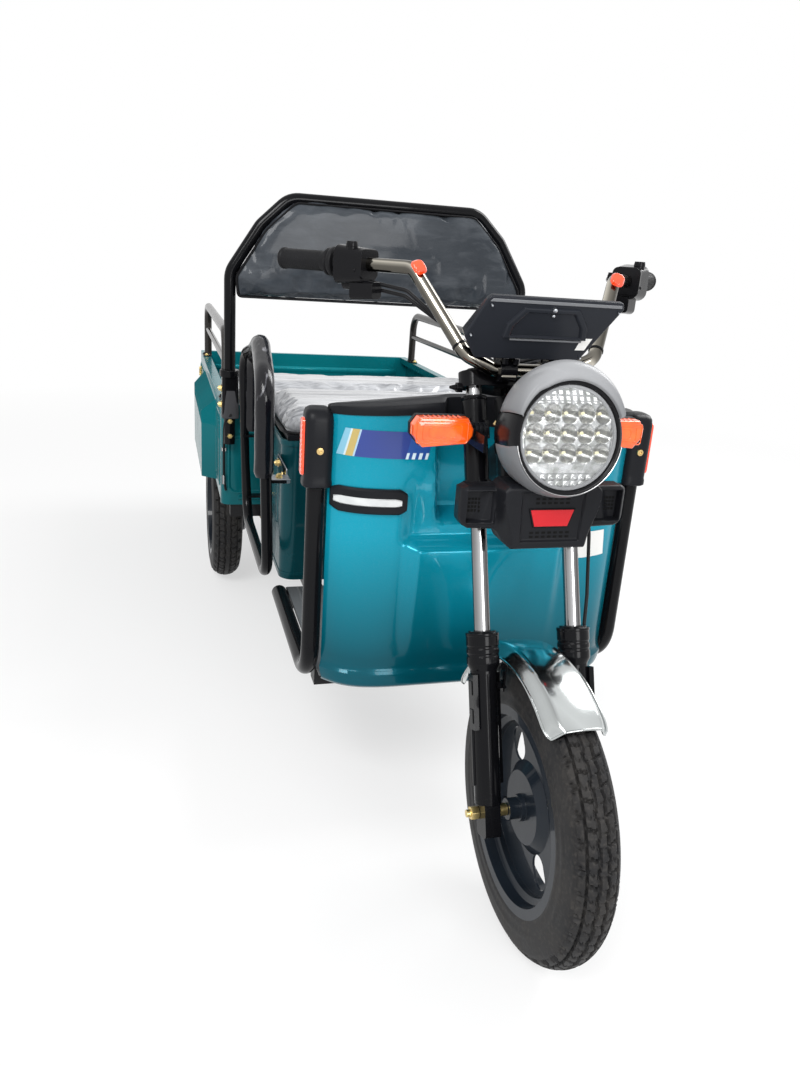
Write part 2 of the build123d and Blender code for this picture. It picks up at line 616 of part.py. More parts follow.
def on_shield(side, skin, face, x0, x1, z0, z1):
    """Strip that follows the shield's front at a given offset."""
    shell = extrude(shield_plan(-face), 900) - extrude(shield_plan(-skin), 900)
    return shell & box(side * x0, side * x1, 280, 350, z0, z1)


housings = both(lambda s: on_shield(s, 0.3, 6, 158, 272, 637, 686))
add("shield_trim", crown, *both(shield_cap), *housings)
add("marker_lamps", *both(lambda s: on_shield(s, 6.3, 9, 168, 262, 649, 669)))
add("side_reflectors", *both(lambda s: box(s * 329.3, s * 334, 349, 371, 695, 796)))

# ---- seat ----
seat_box = box(-SEAT_BOX_HALF, SEAT_BOX_HALF, SEAT_BOX_FRONT, SEAT_BOX_REAR, SEAT_BOX_BOTTOM, SEAT_BOX_TOP)
seat_box = fillet(seat_box.edges().filter_by(Axis.Z), 35)
seat_void = box(-SEAT_BOX_HALF + SHEET, SEAT_BOX_HALF - SHEET, SEAT_BOX_FRONT + SHEET, SEAT_BOX_REAR - SHEET,
                SEAT_BOX_BOTTOM + SHEET, SEAT_BOX_TOP + 5)
seat_void = fillet(seat_void.edges().filter_by(Axis.Z), 35 - SHEET)
seat_box -= seat_void
seat_feet = box(-240, 240, SEAT_BOX_FRONT + 40, SEAT_BOX_REAR - 20, FLOOR_Z - 2, SEAT_BOX_BOTTOM)
SEAT_PIVOT_Z = SEAT_BOX_TOP + 7
SEAT_PIVOT_Y = SEAT_BOX_FRONT - 9
for x in (-160, 160):
    for offset in (-18, 18):
        lug_x = x + offset
        seat_box += box(lug_x - 4, lug_x + 4, SEAT_PIVOT_Y - 7, SEAT_BOX_FRONT, SEAT_BOX_TOP - 20, SEAT_PIVOT_Z + 7)
    seat_box += rod((x - 20, st(SEAT_PIVOT_Y), SEAT_PIVOT_Z), (x + 20, st(SEAT_PIVOT_Y), SEAT_PIVOT_Z), PIN_R)
add("seat_box", seat_box + seat_feet)
add("battery_pack", box(-230, 230, 900, 1085, SEAT_BOX_BOTTOM + SHEET, 500))
pan = box(-292, 292, SEAT_BOX_FRONT, SEAT_BOX_REAR - 2, SEAT_BOX_TOP + 1, SEAT_BOX_TOP + 11)
for x in (-160, 160):
    pan += box(x - 12, x + 12, SEAT_BOX_FRONT - 9, SEAT_BOX_FRONT + 2, SEAT_BOX_TOP + 2, SEAT_BOX_TOP + 11)
    pan += rod((x - 12, st(SEAT_PIVOT_Y), SEAT_PIVOT_Z), (x + 12, st(SEAT_PIVOT_Y), SEAT_PIVOT_Z), 7)
    pan -= rod((x - 14, st(SEAT_PIVOT_Y), SEAT_PIVOT_Z), (x + 14, st(SEAT_PIVOT_Y), SEAT_PIVOT_Z), PIN_R + RUN_FIT)
for x in (-160, 160):
    for offset in (-18, 18):
        pan -= box(x + offset - 5.5, x + offset + 5.5, SEAT_BOX_FRONT - 20, SEAT_BOX_FRONT + 12, 600, 700)
add("seat_pan", pan)
cushion = box(-300, 300, SEAT_BOX_FRONT + 3, SEAT_BOX_REAR - 14, SEAT_BOX_TOP + 11, CUSHION_TOP)
add("driver_cushion", fillet(cushion.edges().filter_by(Axis.Z), 40))

# ---- cargo box ----
def box_plan(inset, back):
    """Plan of the box's front end with its rounded corners, back to a station."""
    half = BOX_HALF - inset
    front = BOX_FRONT + inset
    plan = Pos(0, st((front + back) / 2)) * Rectangle(2 * half, back - front)
    corners = plan.vertices().sort_by(Axis.Y)[:2]
    return fillet(corners, BOX_CORNER_R - inset)


floor_sheet = Pos(0, 0, BOX_FLOOR - SHEET) * extrude(box_plan(SHEET, BOX_REAR), SHEET)
for s in (1, -1):
    y0 = WHEELBASE - WELL_HALF_LENGTH
    y1 = WHEELBASE + WELL_HALF_LENGTH
    well = box(s * WELL_INNER, s * (BOX_HALF - SHEET), y0, y1, BOX_FLOOR - SHEET, WELL_TOP)
    room = box(s * (WELL_INNER + SHEET), s * BOX_HALF, y0 + SHEET, y1 - SHEET, 300, WELL_TOP - SHEET)
    floor_sheet = (floor_sheet + well) - room
add("cargo_floor", floor_sheet)
front_wall = box_plan(0, BOX_FRONT + RIM_W) - box_plan(SHEET, BOX_FRONT + RIM_W + 10)
front_panel = Pos(0, 0, BOX_FLOOR - 10) * extrude(front_wall, BOX_RIM - BOX_FLOOR + 10)
front_panel += Pos(0, 0, BOX_RIM - RIM_H) * extrude(box_plan(0, BOX_FRONT + RIM_W), RIM_H)
for z in WALL_CREASES:
    front_panel += prism_x([(BOX_FRONT + 1, z - 7), (BOX_FRONT - 5, z - 3), (BOX_FRONT - 5, z + 3), (BOX_FRONT + 1, z + 7)],
                           -BEAD_HALF, BEAD_HALF)
add("cargo_front", front_panel)


def cargo_side(side):
    x = side * BOX_HALF
    inner = side * (BOX_HALF - SHEET)
    y0 = BOX_FRONT + RIM_W + 0.3
    panel = box(inner, x, BOX_FRONT + RIM_W, BOX_REAR, BOX_FLOOR, BOX_RIM)
    panel += box(side * (BOX_HALF - RIM_W), x, y0, BOX_REAR, BOX_RIM - RIM_H, BOX_RIM)
    panel -= box(side * (BOX_HALF - 60), side * (BOX_HALF + 10), BOX_FRONT, y0, BOX_RIM - RIM_H - 1, BOX_RIM + 1)
    flare = [(x, 1420), (side * FLARE_X, 1455), (side * FLARE_X, 1960), (x, 1995)]
    room = [(side * (BOX_HALF - 10), 1428), (side * (BOX_HALF), 1423), (side * (FLARE_X - SHEET), 1457),
            (side * (FLARE_X - SHEET), 1958), (side * (BOX_HALF), 1992), (side * (BOX_HALF - 10), 1987)]
    panel += prism_z(flare, 400, 636)
    panel -= prism_z(room, 380, 636 - SHEET)
    panel += box(inner, x, BOX_FRONT + RIM_W, BOX_REAR, WELL_TOP, BOX_RIM - RIM_H)
    panel += box(inner, x, 1410, WHEELBASE - WELL_HALF_LENGTH, BOX_FLOOR, WELL_TOP + 1)
    panel += box(inner, x, WHEELBASE + WELL_HALF_LENGTH, 2005, BOX_FLOOR, WELL_TOP + 1)
    return panel


add("cargo_sides", *both(cargo_side))

gate = box(-BOX_HALF + 2, BOX_HALF - 2, BOX_REAR + 1, BOX_REAR + 1 + SHEET, BOX_FLOOR + 4, BOX_RIM)
gate += box(-BOX_HALF + 2, BOX_HALF - 2, BOX_REAR + 1, BOX_REAR + 21, BOX_RIM - RIM_H, BOX_RIM)
for x in TAIL_HINGES:
    gate += box(x - 14, x + 14, BOX_REAR + 1, TAIL_PIVOT_Y, BOX_FLOOR - 4, BOX_FLOOR + 8)
    gate += rod((x - 14, st(TAIL_PIVOT_Y), TAIL_PIVOT_Z), (x + 14, st(TAIL_PIVOT_Y), TAIL_PIVOT_Z), 8)
    gate -= rod((x - 16, st(TAIL_PIVOT_Y), TAIL_PIVOT_Z), (x + 16, st(TAIL_PIVOT_Y), TAIL_PIVOT_Z), PIN_R + RUN_FIT)
for x in (-PLATE_SPACING / 2, PLATE_SPACING / 2):
    gate -= rod((x, st(BOX_REAR - 5), PLATE_Z), (x, st(BOX_REAR + 10), PLATE_Z), PLATE_HOLE_R)
add("tailgate", gate)

# rear seat inside the box front
rear_base = box(-370, 370, BOX_FRONT + RIM_W + 6, 1470, BOX_FLOOR, 650)
rear_base -= box(-370 + SHEET, 370 - SHEET, BOX_FRONT + RIM_W + 6 + SHEET, 1470 - SHEET, BOX_FLOOR - 5, 660)
rear_base += box(-374, 374, BOX_FRONT + RIM_W + 2, 1474, 650, BOX_RIM + 0.5)
add("rear_seat_base", rear_base)
rear_cushion = box(-372, 372, BOX_FRONT + 6, 1480, BOX_RIM + 0.5, 710)
add("rear_cushion", fillet(rear_cushion.edges().filter_by(Axis.Z), 30))


def rail(side):
    x = side * RAIL_X
    points = [(x, 1300, BOX_RIM), (x, 1300, 838), (x, 2200, 838), (x, 2200, BOX_RIM)]
    hoop = tube([(a, st(b), c) for a, b, c in points], RAIL_R, 60)
    middle = rod((x, st(1300), 757), (x, st(2200), 757), 9)
    return hoop + middle


add("cargo_rails", *both(rail))

# ---- backrest hoop ----
hoop_side = [(-HOOP_X, 560), (-HOOP_X, 995), (-316, 1110), (-246, 1176)]
hoop_pts = hoop_side + [(-x, z) for x, z in reversed(hoop_side)]
hoop = tube([(x, st(HOOP_Y), z) for x, z in hoop_pts], HOOP_R, 60)
hoop += rod((-HOOP_X, st(HOOP_Y + 23), 1000), (HOOP_X, st(HOOP_Y + 23), 1000), 9)
for s in (1, -1):
    socket = box(s * (HOOP_X - 22), s * (HOOP_X + 20), HOOP_Y - 17.9, HOOP_Y + 17.7, 640, 738)
    hoop += fillet(socket.edges().filter_by(Axis.Z), 8)
    hoop += box(s * (HOOP_X + 6), s * (HOOP_X - 6), HOOP_Y - 10, HOOP_Y + 17.7, 560, 645)
add("backrest_hoop", hoop)
pad = prism_y([(-362, 938), (-366, 985), (-296, 1094), (-226, 1158), (226, 1158), (296, 1094), (366, 985), (362, 938)], 1158, 1200)
add("backrest_pad", pad)

GUARD_LOOP = [(654, 384), (654, 806), (822, 864), (1110, 806), (1110, 384)]


def guard(side):
    """Side guard: a closed loop with the plate that holds it to the seat box."""
    x = side * GUARD_X
    path = FilletPolyline(*[(x, st(y), z) for y, z in GUARD_LOOP], radius=70, close=True)
    loop = sweep(Plane(path @ 0, z_dir=path % 0) * Circle(GUARD_R), path=path)
    for z in (440, 600):
        loop += box(side * (SEAT_BOX_HALF + 0.2), side * (GUARD_X + 2), 1094, 1114, z - 3, z + 3)
        loop += box(side * (SEAT_BOX_HALF + 0.2), side * (SEAT_BOX_HALF + 5), 1080, 1128, z - 18, z + 18)
    return loop


def guard_front_plate(side):
    """Flat plate from the seat box forward to the loop's front run."""
    z = 600
    plate = box(side * (SEAT_BOX_HALF + 0.2), side * (SEAT_BOX_HALF + 4.2), 700, 840, z - 16, z + 16)
    plate += box(side * (SEAT_BOX_HALF + 0.2), side * (GUARD_X + 2), 656, 704, z - 3, z + 3)
    return plate


add("guard_loops", *[a + b for a, b in zip(both(guard), both(guard_front_plate))])


def guard_pad(side):
    """Foam sleeve over the upper half of the loop."""
    x = side * GUARD_X
    points = [(654, 610), (654, 806), (822, 864), (1110, 806), (1110, 610)]
    points = [(x, st(y), z) for y, z in points]
    return tube(points, GUARD_PAD_R, 70) - tube(points, GUARD_R + RUN_FIT, 70)


add("guard_pads", *both(guard_pad))
add("tail_lamps", *both(lambda s: box(s * 306, s * 384, 2325, 2329, 352, 388)))

pedal_x = -130
pedal = prism_x([(560, FLOOR_Z), (600, FLOOR_Z), (600, FLOOR_Z + 14), (560, FLOOR_Z + 14)], pedal_x - 22, pedal_x + 22)
pedal += tube([(pedal_x, st(580), FLOOR_Z + 6), (pedal_x, st(548), FLOOR_Z + 60), (pedal_x, st(506), FLOOR_Z + 90)], 6, 18)
pedal += prism_x([(520, FLOOR_Z + 66), (478, FLOOR_Z + 112), (488, FLOOR_Z + 121), (530, FLOOR_Z + 75)], pedal_x - 30, pedal_x + 30)
add("brake_pedal", pedal)

for name, solids in PARTS.items():
    shapes = []
    for piece in solids:
        shapes.extend(piece.solids())
    export_step(Compound(children=shapes) if len(shapes) > 1 else shapes[0], "parts/" + name + ".step")
    print(name, len(shapes), "solids", round(sum(s.volume for s in shapes) / 1e3), "cm3")
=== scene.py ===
import json
import math

import bmesh
import bpy
from mathutils import Matrix, Vector, noise

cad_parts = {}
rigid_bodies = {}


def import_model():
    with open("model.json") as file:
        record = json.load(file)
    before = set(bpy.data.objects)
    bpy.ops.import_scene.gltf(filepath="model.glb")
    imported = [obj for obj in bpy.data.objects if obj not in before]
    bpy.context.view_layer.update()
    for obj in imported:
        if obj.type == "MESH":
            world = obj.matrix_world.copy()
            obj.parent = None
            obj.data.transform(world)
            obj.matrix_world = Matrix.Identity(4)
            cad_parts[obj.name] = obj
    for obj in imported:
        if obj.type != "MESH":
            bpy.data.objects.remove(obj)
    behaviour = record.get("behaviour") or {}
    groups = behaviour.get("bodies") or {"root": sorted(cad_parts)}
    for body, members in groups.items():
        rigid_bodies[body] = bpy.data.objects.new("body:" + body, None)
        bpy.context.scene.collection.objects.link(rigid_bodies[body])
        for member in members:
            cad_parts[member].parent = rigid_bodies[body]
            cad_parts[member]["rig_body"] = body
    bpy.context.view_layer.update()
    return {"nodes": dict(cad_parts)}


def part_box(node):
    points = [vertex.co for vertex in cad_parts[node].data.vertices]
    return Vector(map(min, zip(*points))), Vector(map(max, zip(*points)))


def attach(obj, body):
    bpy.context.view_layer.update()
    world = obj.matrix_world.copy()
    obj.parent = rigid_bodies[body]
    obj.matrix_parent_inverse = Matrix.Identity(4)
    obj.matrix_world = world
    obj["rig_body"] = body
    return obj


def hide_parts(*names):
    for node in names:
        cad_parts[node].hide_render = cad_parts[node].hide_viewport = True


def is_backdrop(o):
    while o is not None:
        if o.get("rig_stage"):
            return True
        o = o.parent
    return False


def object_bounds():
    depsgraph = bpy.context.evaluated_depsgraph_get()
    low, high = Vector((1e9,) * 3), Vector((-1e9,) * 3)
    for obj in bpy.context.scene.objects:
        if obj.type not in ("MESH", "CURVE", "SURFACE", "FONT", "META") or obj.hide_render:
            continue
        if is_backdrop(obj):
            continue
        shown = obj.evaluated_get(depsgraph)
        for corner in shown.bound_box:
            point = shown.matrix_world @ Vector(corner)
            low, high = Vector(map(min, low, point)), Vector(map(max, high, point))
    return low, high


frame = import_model()
nodes = frame["nodes"]
print("frame loaded:", len(nodes), "nodes")

# sizes and places shared by several pieces, in metres; stations are counted back from the front axle
wheel = {
    "front": 0.238, "frontWide": 0.078, "rear": 0.235, "rearWide": 0.092, "bead": 0.152,
    "rearHalf": 0.369, "rearBehind": 1.707, "nutRing": 0.046, "valveRing": 0.141,
}
body = {
    "axleY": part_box("front_tyre")[0].y + wheel["front"],
    "rake": math.radians(21.0),
    "forkHalf": 0.079,
}


bothSides = ((1, "left"), (-1, "right"))


def st(behind):
    return body["axleY"] + behind


def legY(z):
    return 0.088 + (z - 0.5) * math.tan(body["rake"])


def onLeg(side, z, out=0.0, fore=0.0):
    # a point beside a fork leg: out is sideways, fore is ahead of the leg square to the rake
    return Vector((side * (body["forkHalf"] + out), st(legY(z)) - fore * math.cos(body["rake"]),
                   z + fore * math.sin(body["rake"])))


# node trees
class Sock:
    # a socket that can be used in arithmetic
    def __init__(self, tree, out):
        self.tree = tree
        self.out = out

    def math(self, operation, other=None, swap=False):
        n = self.tree.nodes.new("ShaderNodeMath")
        n.operation = operation
        pair = [self, other]
        if swap:
            pair.reverse()
        for i, value in enumerate(pair):
            if value is None:
                continue
            if isinstance(value, Sock):
                self.tree.links.new(value.out, n.inputs[i])
            else:
                n.inputs[i].default_value = value
        return Sock(self.tree, n.outputs[0])

    def __add__(self, other):
        return self.math("ADD", other)

    def __sub__(self, other):
        return self.math("SUBTRACT", other)

    def __rsub__(self, other):
        return self.math("SUBTRACT", other, swap=True)

    def __mul__(self, other):
        return self.math("MULTIPLY", other)

    def __gt__(self, other):
        return self.math("GREATER_THAN", other)

    def __lt__(self, other):
        return self.math("LESS_THAN", other)

    def clamp(self):
        n = self.tree.nodes.new("ShaderNodeClamp")
        self.tree.links.new(self.out, n.inputs[0])
        return Sock(self.tree, n.outputs[0])


finishes = {}


class Finish:
    # one material being wired, kept under its name
    def __init__(self, name, color, roughness, metallic=0.0, **sockets):
        finishes[name] = self
        self.material = bpy.data.materials.new(name)
        self.material.use_nodes = True
        self.tree = self.material.node_tree
        self.shader = self.tree.nodes["Principled BSDF"]
        self.material.diffuse_color = (*color, 1.0)
        self.put("Base Color", (*color, 1.0))
        self.put("Roughness", roughness)
        self.put("Metallic", metallic)
        for key, value in sockets.items():
            self.put(key.replace("_", " "), value)

    def put(self, socket, value):
        if isinstance(value, Sock):
            self.tree.links.new(value.out, self.shader.inputs[socket])
        else:
            self.shader.inputs[socket].default_value = value

    def node(self, kind, output=0, settings=None, **inputs):
        n = self.tree.nodes.new("ShaderNode" + kind)
        for key, value in (settings or {}).items():
            if key == "stops":
                ramp = n.color_ramp
                while len(ramp.elements) < len(value):
                    ramp.elements.new(0.5)
                for element, (place, color) in zip(ramp.elements, value):
                    element.position = place
                    element.color = color if len(color) == 4 else (*color, 1.0)
            else:
                setattr(n, key, value)
        for key, value in inputs.items():
            numbered = key.startswith("in") and key[2:].isdigit()
            socket = n.inputs[int(key[2:]) if numbered else key.replace("_", " ")]
            if isinstance(value, Sock):
                self.tree.links.new(value.out, socket)
            else:
                socket.default_value = value
        return Sock(self.tree, n.outputs[output])

    def place(self):
        return self.node("TexCoord", 3)

    def noise(self, scale, detail=3.0, rough=0.5, stretch=None, distortion=0.0):
        where = self.place()
        if stretch:
            where = self.node("Mapping", 0, None, Vector=where, Scale=stretch)
        return self.node("TexNoise", 0, None, Vector=where, Scale=scale, Detail=detail, Roughness=rough,
                         Distortion=distortion)

    def ramp(self, value, *stops):
        return self.node("ValToRGB", 0, {"stops": stops}, Fac=value)

    def mix(self, factor, a, b):
        return self.node("Mix", 2, {"data_type": "RGBA"}, in0=factor, in6=a, in7=b)

    def span(self, value, low, high, fromLow=0.0, fromHigh=1.0):
        return self.node("MapRange", 0, None, Value=value, From_Min=fromLow, From_Max=fromHigh, To_Min=low,
                         To_Max=high)

    def axis(self, index):
        return self.node("SeparateXYZ", index, None, Vector=self.place())

    def bump(self, height, strength, distance):
        self.put("Normal", self.node("Bump", 0, None, Strength=strength, Distance=distance, Height=height))


def rgba(r, g, b):
    return (r, g, b, 1.0)


def scaled(color, k):
    return rgba(*[c * k for c in color])


paintMetal = 0.25


def paint(name, color, dark, flake, roughness, coat, shade=None, matt=None):
    # metallic enamel: patchy tone, flakes, and a shade of (low, high, what is left of the colour)
    f = Finish(name, color, roughness, paintMetal, Coat_Weight=coat, Coat_Roughness=0.03,
               Specular_IOR_Level=0.08)
    broad = f.noise(2.6, 2.0)
    sparkle = f.noise(1400.0, 1.0)
    tone = f.mix(f.span(broad, 0.0, 1.0, 0.35, 0.65), (*dark, 1.0), (*color, 1.0))
    glint = f.span(sparkle, 0.0, flake, 0.56, 0.78)
    tone = f.mix(glint, tone, rgba(min(1, color[0] + 0.25), min(1, color[1] * 1.5), min(1, color[2] * 1.5)))
    if shade:
        # deeper towards the ground, where less light falls on it
        low, high, left = shade
        tone = f.mix(f.span(f.axis(2), 1.0, 0.0, low, high), tone, scaled(color, left))
    f.put("Base Color", tone)
    rough = f.span(f.noise(9.0, 4.0), roughness - 0.05, roughness + 0.07)
    if matt:
        # dull past this far sideways and above this height, where only a narrow shelf is seen edge on
        shelf = ((f.axis(0) * f.axis(0)) > matt[0] ** 2) * (f.axis(2) > matt[1])
        f.put("Coat Weight", (1.0 - shelf) * coat)
        f.put("Metallic", (1.0 - shelf) * paintMetal)
        rough = rough + shelf * 0.7
    f.put("Roughness", rough)
    f.bump(f.noise(210.0, 1.0), 0.05, 0.0006)


def enamel(name, color, roughness, coat=0.14):
    # plain paint with a little dust
    f = Finish(name, color, roughness, 0.0, Coat_Weight=coat, Coat_Roughness=0.05, Specular_IOR_Level=0.07)
    dust = f.span(f.noise(5.0, 6.0, 0.65), 0.0, 0.02, 0.45, 0.8)
    f.put("Base Color", f.mix(dust, (*color, 1.0), rgba(0.10, 0.10, 0.105)))
    f.put("Roughness", f.span(f.noise(14.0, 5.0), roughness - 0.04, roughness + 0.10))
    f.bump(f.noise(320.0, 2.0), 0.06, 0.0006)


def moulded(name, color, roughness, grain=900.0, strength=0.25):
    # plastic or rubber with a fine grain and paler, worn patches
    f = Finish(name, color, roughness, 0.0, Specular_IOR_Level=0.12)
    worn = f.span(f.noise(6.0, 5.0, 0.6), 0.0, 0.22, 0.5, 0.85)
    f.put("Base Color", f.mix(worn, (*color, 1.0),
                              rgba(color[0] + 0.016, color[1] + 0.017, color[2] + 0.019)))
    f.put("Roughness", f.span(f.noise(22.0, 4.0), roughness - 0.06, roughness + 0.08))
    f.bump(f.noise(grain, 2.0), strength, 0.0004)
    return f


def plated(name, color, roughness, bend=0.0, bands=()):
    # bare metal with a haze; bend is the scale of dents in it
    f = Finish(name, color, roughness, 1.0)
    haze = f.noise(11.0, 5.0, 0.6)
    f.put("Roughness", f.span(haze, roughness * 0.7, roughness * 1.5 + 0.03, 0.3, 0.75))
    tone = f.mix(f.span(haze, 0.0, 0.35, 0.4, 0.8), (*color, 1.0),
                 rgba(color[0] * 0.72, color[1] * 0.72, color[2] * 0.70))
    if bands:
        # painted reflection: dark and pale bands are painted into the colour by the way each side of it
        # faces, standing for what the plate mirrors
        facing = f.node("TexCoord", 1)
        side, fore, up = (f.node("SeparateXYZ", k, None, Vector=facing) for k in range(3))
        sweep = side * 0.55 + fore * 0.30 + up * 0.42 + f.noise(3.0, 2.0) * 0.20
        shade = f.ramp(f.span(sweep, 0.0, 1.0, -0.85, 1.0), *[(p, (c, c, c)) for p, c in bands])
        tone = f.node("Mix", 2, {"data_type": "RGBA", "blend_type": "MULTIPLY"}, in0=1.0, in6=tone, in7=shade)
    f.put("Base Color", tone)
    f.bump(f.noise(bend or 60.0, 2.0), 0.18 if bend else 0.05, 0.001)


def lens(name, color, deep, roughness):
    # moulded translucent plastic, whose colour also glows faintly: a painted glow, though no lamp in it is
    # lit
    f = Finish(name, color, roughness, 0.0, IOR=1.5, Coat_Weight=1.0, Coat_Roughness=0.03,
               Emission_Strength=0.18)
    cloud = f.span(f.noise(40.0, 3.0), 0.0, 1.0, 0.35, 0.7)
    shade = f.mix(cloud, (*deep, 1.0), (*color, 1.0))
    f.put("Base Color", shade)
    # painted glow: the lens shines with its own colour
    f.put("Emission Color", shade)
    f.bump(f.noise(30.0, 2.0), 0.06, 0.001)


paint("tealPaint", (0.0, 0.285, 0.400), (0.0, 0.230, 0.320), 0.25, 0.20, 0.26, (0.36, 0.60, 0.24))
paint("tealBox", (0.0, 0.150, 0.172), (0.0, 0.115, 0.134), 0.20, 0.25, 0.18, (0.36, 0.58, 0.62),
      (0.412, 0.56))
# painted light: a paler copy of the box's teal for the gate, whose inner face stands in the light
paint("tealInner", (0.0, 0.215, 0.250), (0.0, 0.175, 0.205), 0.20, 0.25, 0.18)
# painted shade: a darker copy of the teal for the seat box, which stands in shade under the seat
paint("tealShade", (0.0, 0.062, 0.076), (0.0, 0.048, 0.060), 0.15, 0.25, 0.16)
enamel("blackEnamel", (0.0035, 0.0036, 0.0045), 0.16)
enamel("railEnamel", (0.020, 0.017, 0.015), 0.26, 0.45)
enamel("rimEnamel", (0.010, 0.014, 0.020), 0.34, 0.35)
enamel("frameEnamel", (0.010, 0.010, 0.011), 0.40, 0.2)
enamel("floorEnamel", (0.115, 0.122, 0.128), 0.42, 0.2)
moulded("blackPlastic", (0.008, 0.0085, 0.0105), 0.36)
moulded("glossBlack", (0.006, 0.006, 0.007), 0.16, 300.0, 0.04)
silver = moulded("silverPlastic", (0.300, 0.306, 0.318), 0.30, 500.0, 0.05)
# painted shade: the silver is darker lower down and paler towards its top, where more light falls
height = silver.span(silver.axis(2), 0.0, 1.0, 0.862, 0.925)
silver.put("Base Color", silver.mix(height, rgba(0.150, 0.154, 0.162), rgba(0.285, 0.290, 0.300)))
moulded("gripRubber", (0.008, 0.008, 0.009), 0.50, 700.0, 0.3)
moulded("cableSheath", (0.010, 0.010, 0.011), 0.38, 500.0, 0.1)
moulded("batteryCase", (0.03, 0.03, 0.034), 0.5)
# painted reflections: grey levels of the plate's colour, set by the way each side faces
chromeReflectionBands = ((0.0, 0.08), (0.18, 0.22), (0.30, 0.60), (0.38, 0.95), (0.46, 0.36), (0.58, 0.14),
               (0.72, 0.34), (0.86, 0.80))
fenderReflectionBands = ((0.0, 0.55), (0.3, 0.85), (0.45, 0.55), (0.6, 1.0), (0.75, 0.70), (0.9, 1.0))
plated("chromePlate", (0.74, 0.74, 0.75), 0.09, 0.0, chromeReflectionBands)
plated("barChrome", (0.62, 0.58, 0.50), 0.10, 0.0, chromeReflectionBands)
plated("fenderChrome", (0.66, 0.69, 0.69), 0.12, 22.0, fenderReflectionBands)
plated("zincYellow", (0.72, 0.56, 0.24), 0.28)
plated("castMetal", (0.40, 0.40, 0.41), 0.45)
plated("steelPlate", (0.45, 0.47, 0.50), 0.35)
plated("brass", (0.70, 0.50, 0.22), 0.22)
moulded("greyPlastic", (0.050, 0.050, 0.054), 0.40)
moulded("piping", (0.008, 0.008, 0.009), 0.42)
moulded("instrumentBlack", (0.017, 0.019, 0.024), 0.20, 380.0, 0.05)
moulded("instrumentHighlight", (0.16, 0.165, 0.175), 0.22, 380.0, 0.05)
moulded("holeShade", (0.002, 0.002, 0.002), 0.7)
enamel("badgeRed", (0.46, 0.008, 0.014), 0.30, 0.5)
enamel("blankLabel", (0.78, 0.78, 0.76), 0.4, 0.2)
lens("amberLens", (0.90, 0.125, 0.006), (0.72, 0.070, 0.003), 0.12)
lens("milkyLens", (0.72, 0.74, 0.74), (0.62, 0.64, 0.65), 0.18)
lens("redLens", (0.60, 0.02, 0.012), (0.42, 0.01, 0.01), 0.14)
lens("redOrangeLens", (0.95, 0.07, 0.008), (0.75, 0.04, 0.005), 0.14)
lens("chipYellow", (0.80, 0.74, 0.45), (0.70, 0.62, 0.30), 0.3)
strip = Finish("markerStrip", (0.62, 0.64, 0.65), 0.2, 0.55, Coat_Weight=1.0)
strip.put("Base Color", strip.mix(strip.noise(60.0, 2.0), rgba(0.50, 0.52, 0.53), rgba(0.78, 0.80, 0.80)))
strip.bump(strip.noise(90.0, 2.0), 0.2, 0.001)
glass = Finish("coverGlass", (0.92, 0.94, 0.95), 0.03, 0.0, IOR=1.5, Alpha=0.10, Coat_Weight=1.0,
               Coat_Roughness=0.02)
glass.put("Roughness", glass.span(glass.noise(12.0, 2.0), 0.02, 0.06))
glass.material.surface_render_method = "BLENDED"
rubber = Finish("tyreRubber", (0.008, 0.008, 0.009), 0.62, 0.0, Specular_IOR_Level=0.15)
dust = rubber.span(rubber.noise(18.0, 6.0, 0.7), 0.0, 0.55, 0.42, 0.78)
grit = rubber.span(rubber.noise(160.0, 3.0), 0.0, 0.35, 0.5, 0.7)
rubber.put("Base Color", rubber.mix((dust + grit).clamp(), rgba(0.013, 0.013, 0.014),
                                    rgba(0.050, 0.046, 0.042)))
rubber.put("Roughness", rubber.span(dust, 0.50, 0.80))
rubber.bump(rubber.noise(900.0, 2.0), 0.2, 0.0003)
print("finishes made")


# mesh tools
def adopt(obj, finishName, bodyName, replaced=()):
    obj.data.materials.clear()
    obj.data.materials.append(finishes[finishName].material)
    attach(obj, bodyName)
    if replaced:
        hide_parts(*replaced)
    return obj


def link(name, data):
    obj = bpy.data.objects.new(name, data)
    bpy.context.scene.collection.objects.link(obj)
    return obj


def settle(obj):
    # applies the modifiers
    bpy.context.view_layer.update()
    deps = bpy.context.evaluated_depsgraph_get()
    mesh = bpy.data.meshes.new_from_object(obj.evaluated_get(deps))
    old = obj.data
    obj.modifiers.clear()
    obj.data = mesh
    bpy.data.meshes.remove(old)
    return obj


def shade(bm, angle):
    # smooth faces with sharp edges past an angle
    limit = math.radians(angle)
    bm.normal_update()
    for f in bm.faces:
        f.smooth = True
    for e in bm.edges:
        e.smooth = len(e.link_faces) == 2 and e.calc_face_angle(0.0) < limit


def toObject(bm, name, angle, bevel=0.0, segments=2, bevelAngle=30.0):
    shade(bm, angle)
    mesh = bpy.data.meshes.new(name)
    bm.to_mesh(mesh)
    bm.free()
    obj = link(name, mesh)
    if bevel:
        m = obj.modifiers.new("bevel", "BEVEL")
        m.width = bevel
        m.segments = segments
        m.limit_method = "ANGLE"
        m.angle_limit = math.radians(bevelAngle)
        m.harden_normals = True
        settle(obj)
    return obj


def fixFaces(bm):
    bmesh.ops.recalc_face_normals(bm, faces=bm.faces[:])


def finished(bm, name, finishName, bodyName, angle, bevel=0.0, segments=2, bevelAngle=30.0,
             replaced=()):
    # turns a mesh being built into a piece
    fixFaces(bm)
    return adopt(toObject(bm, name, angle, bevel, segments, bevelAngle), finishName, bodyName,
                 replaced)


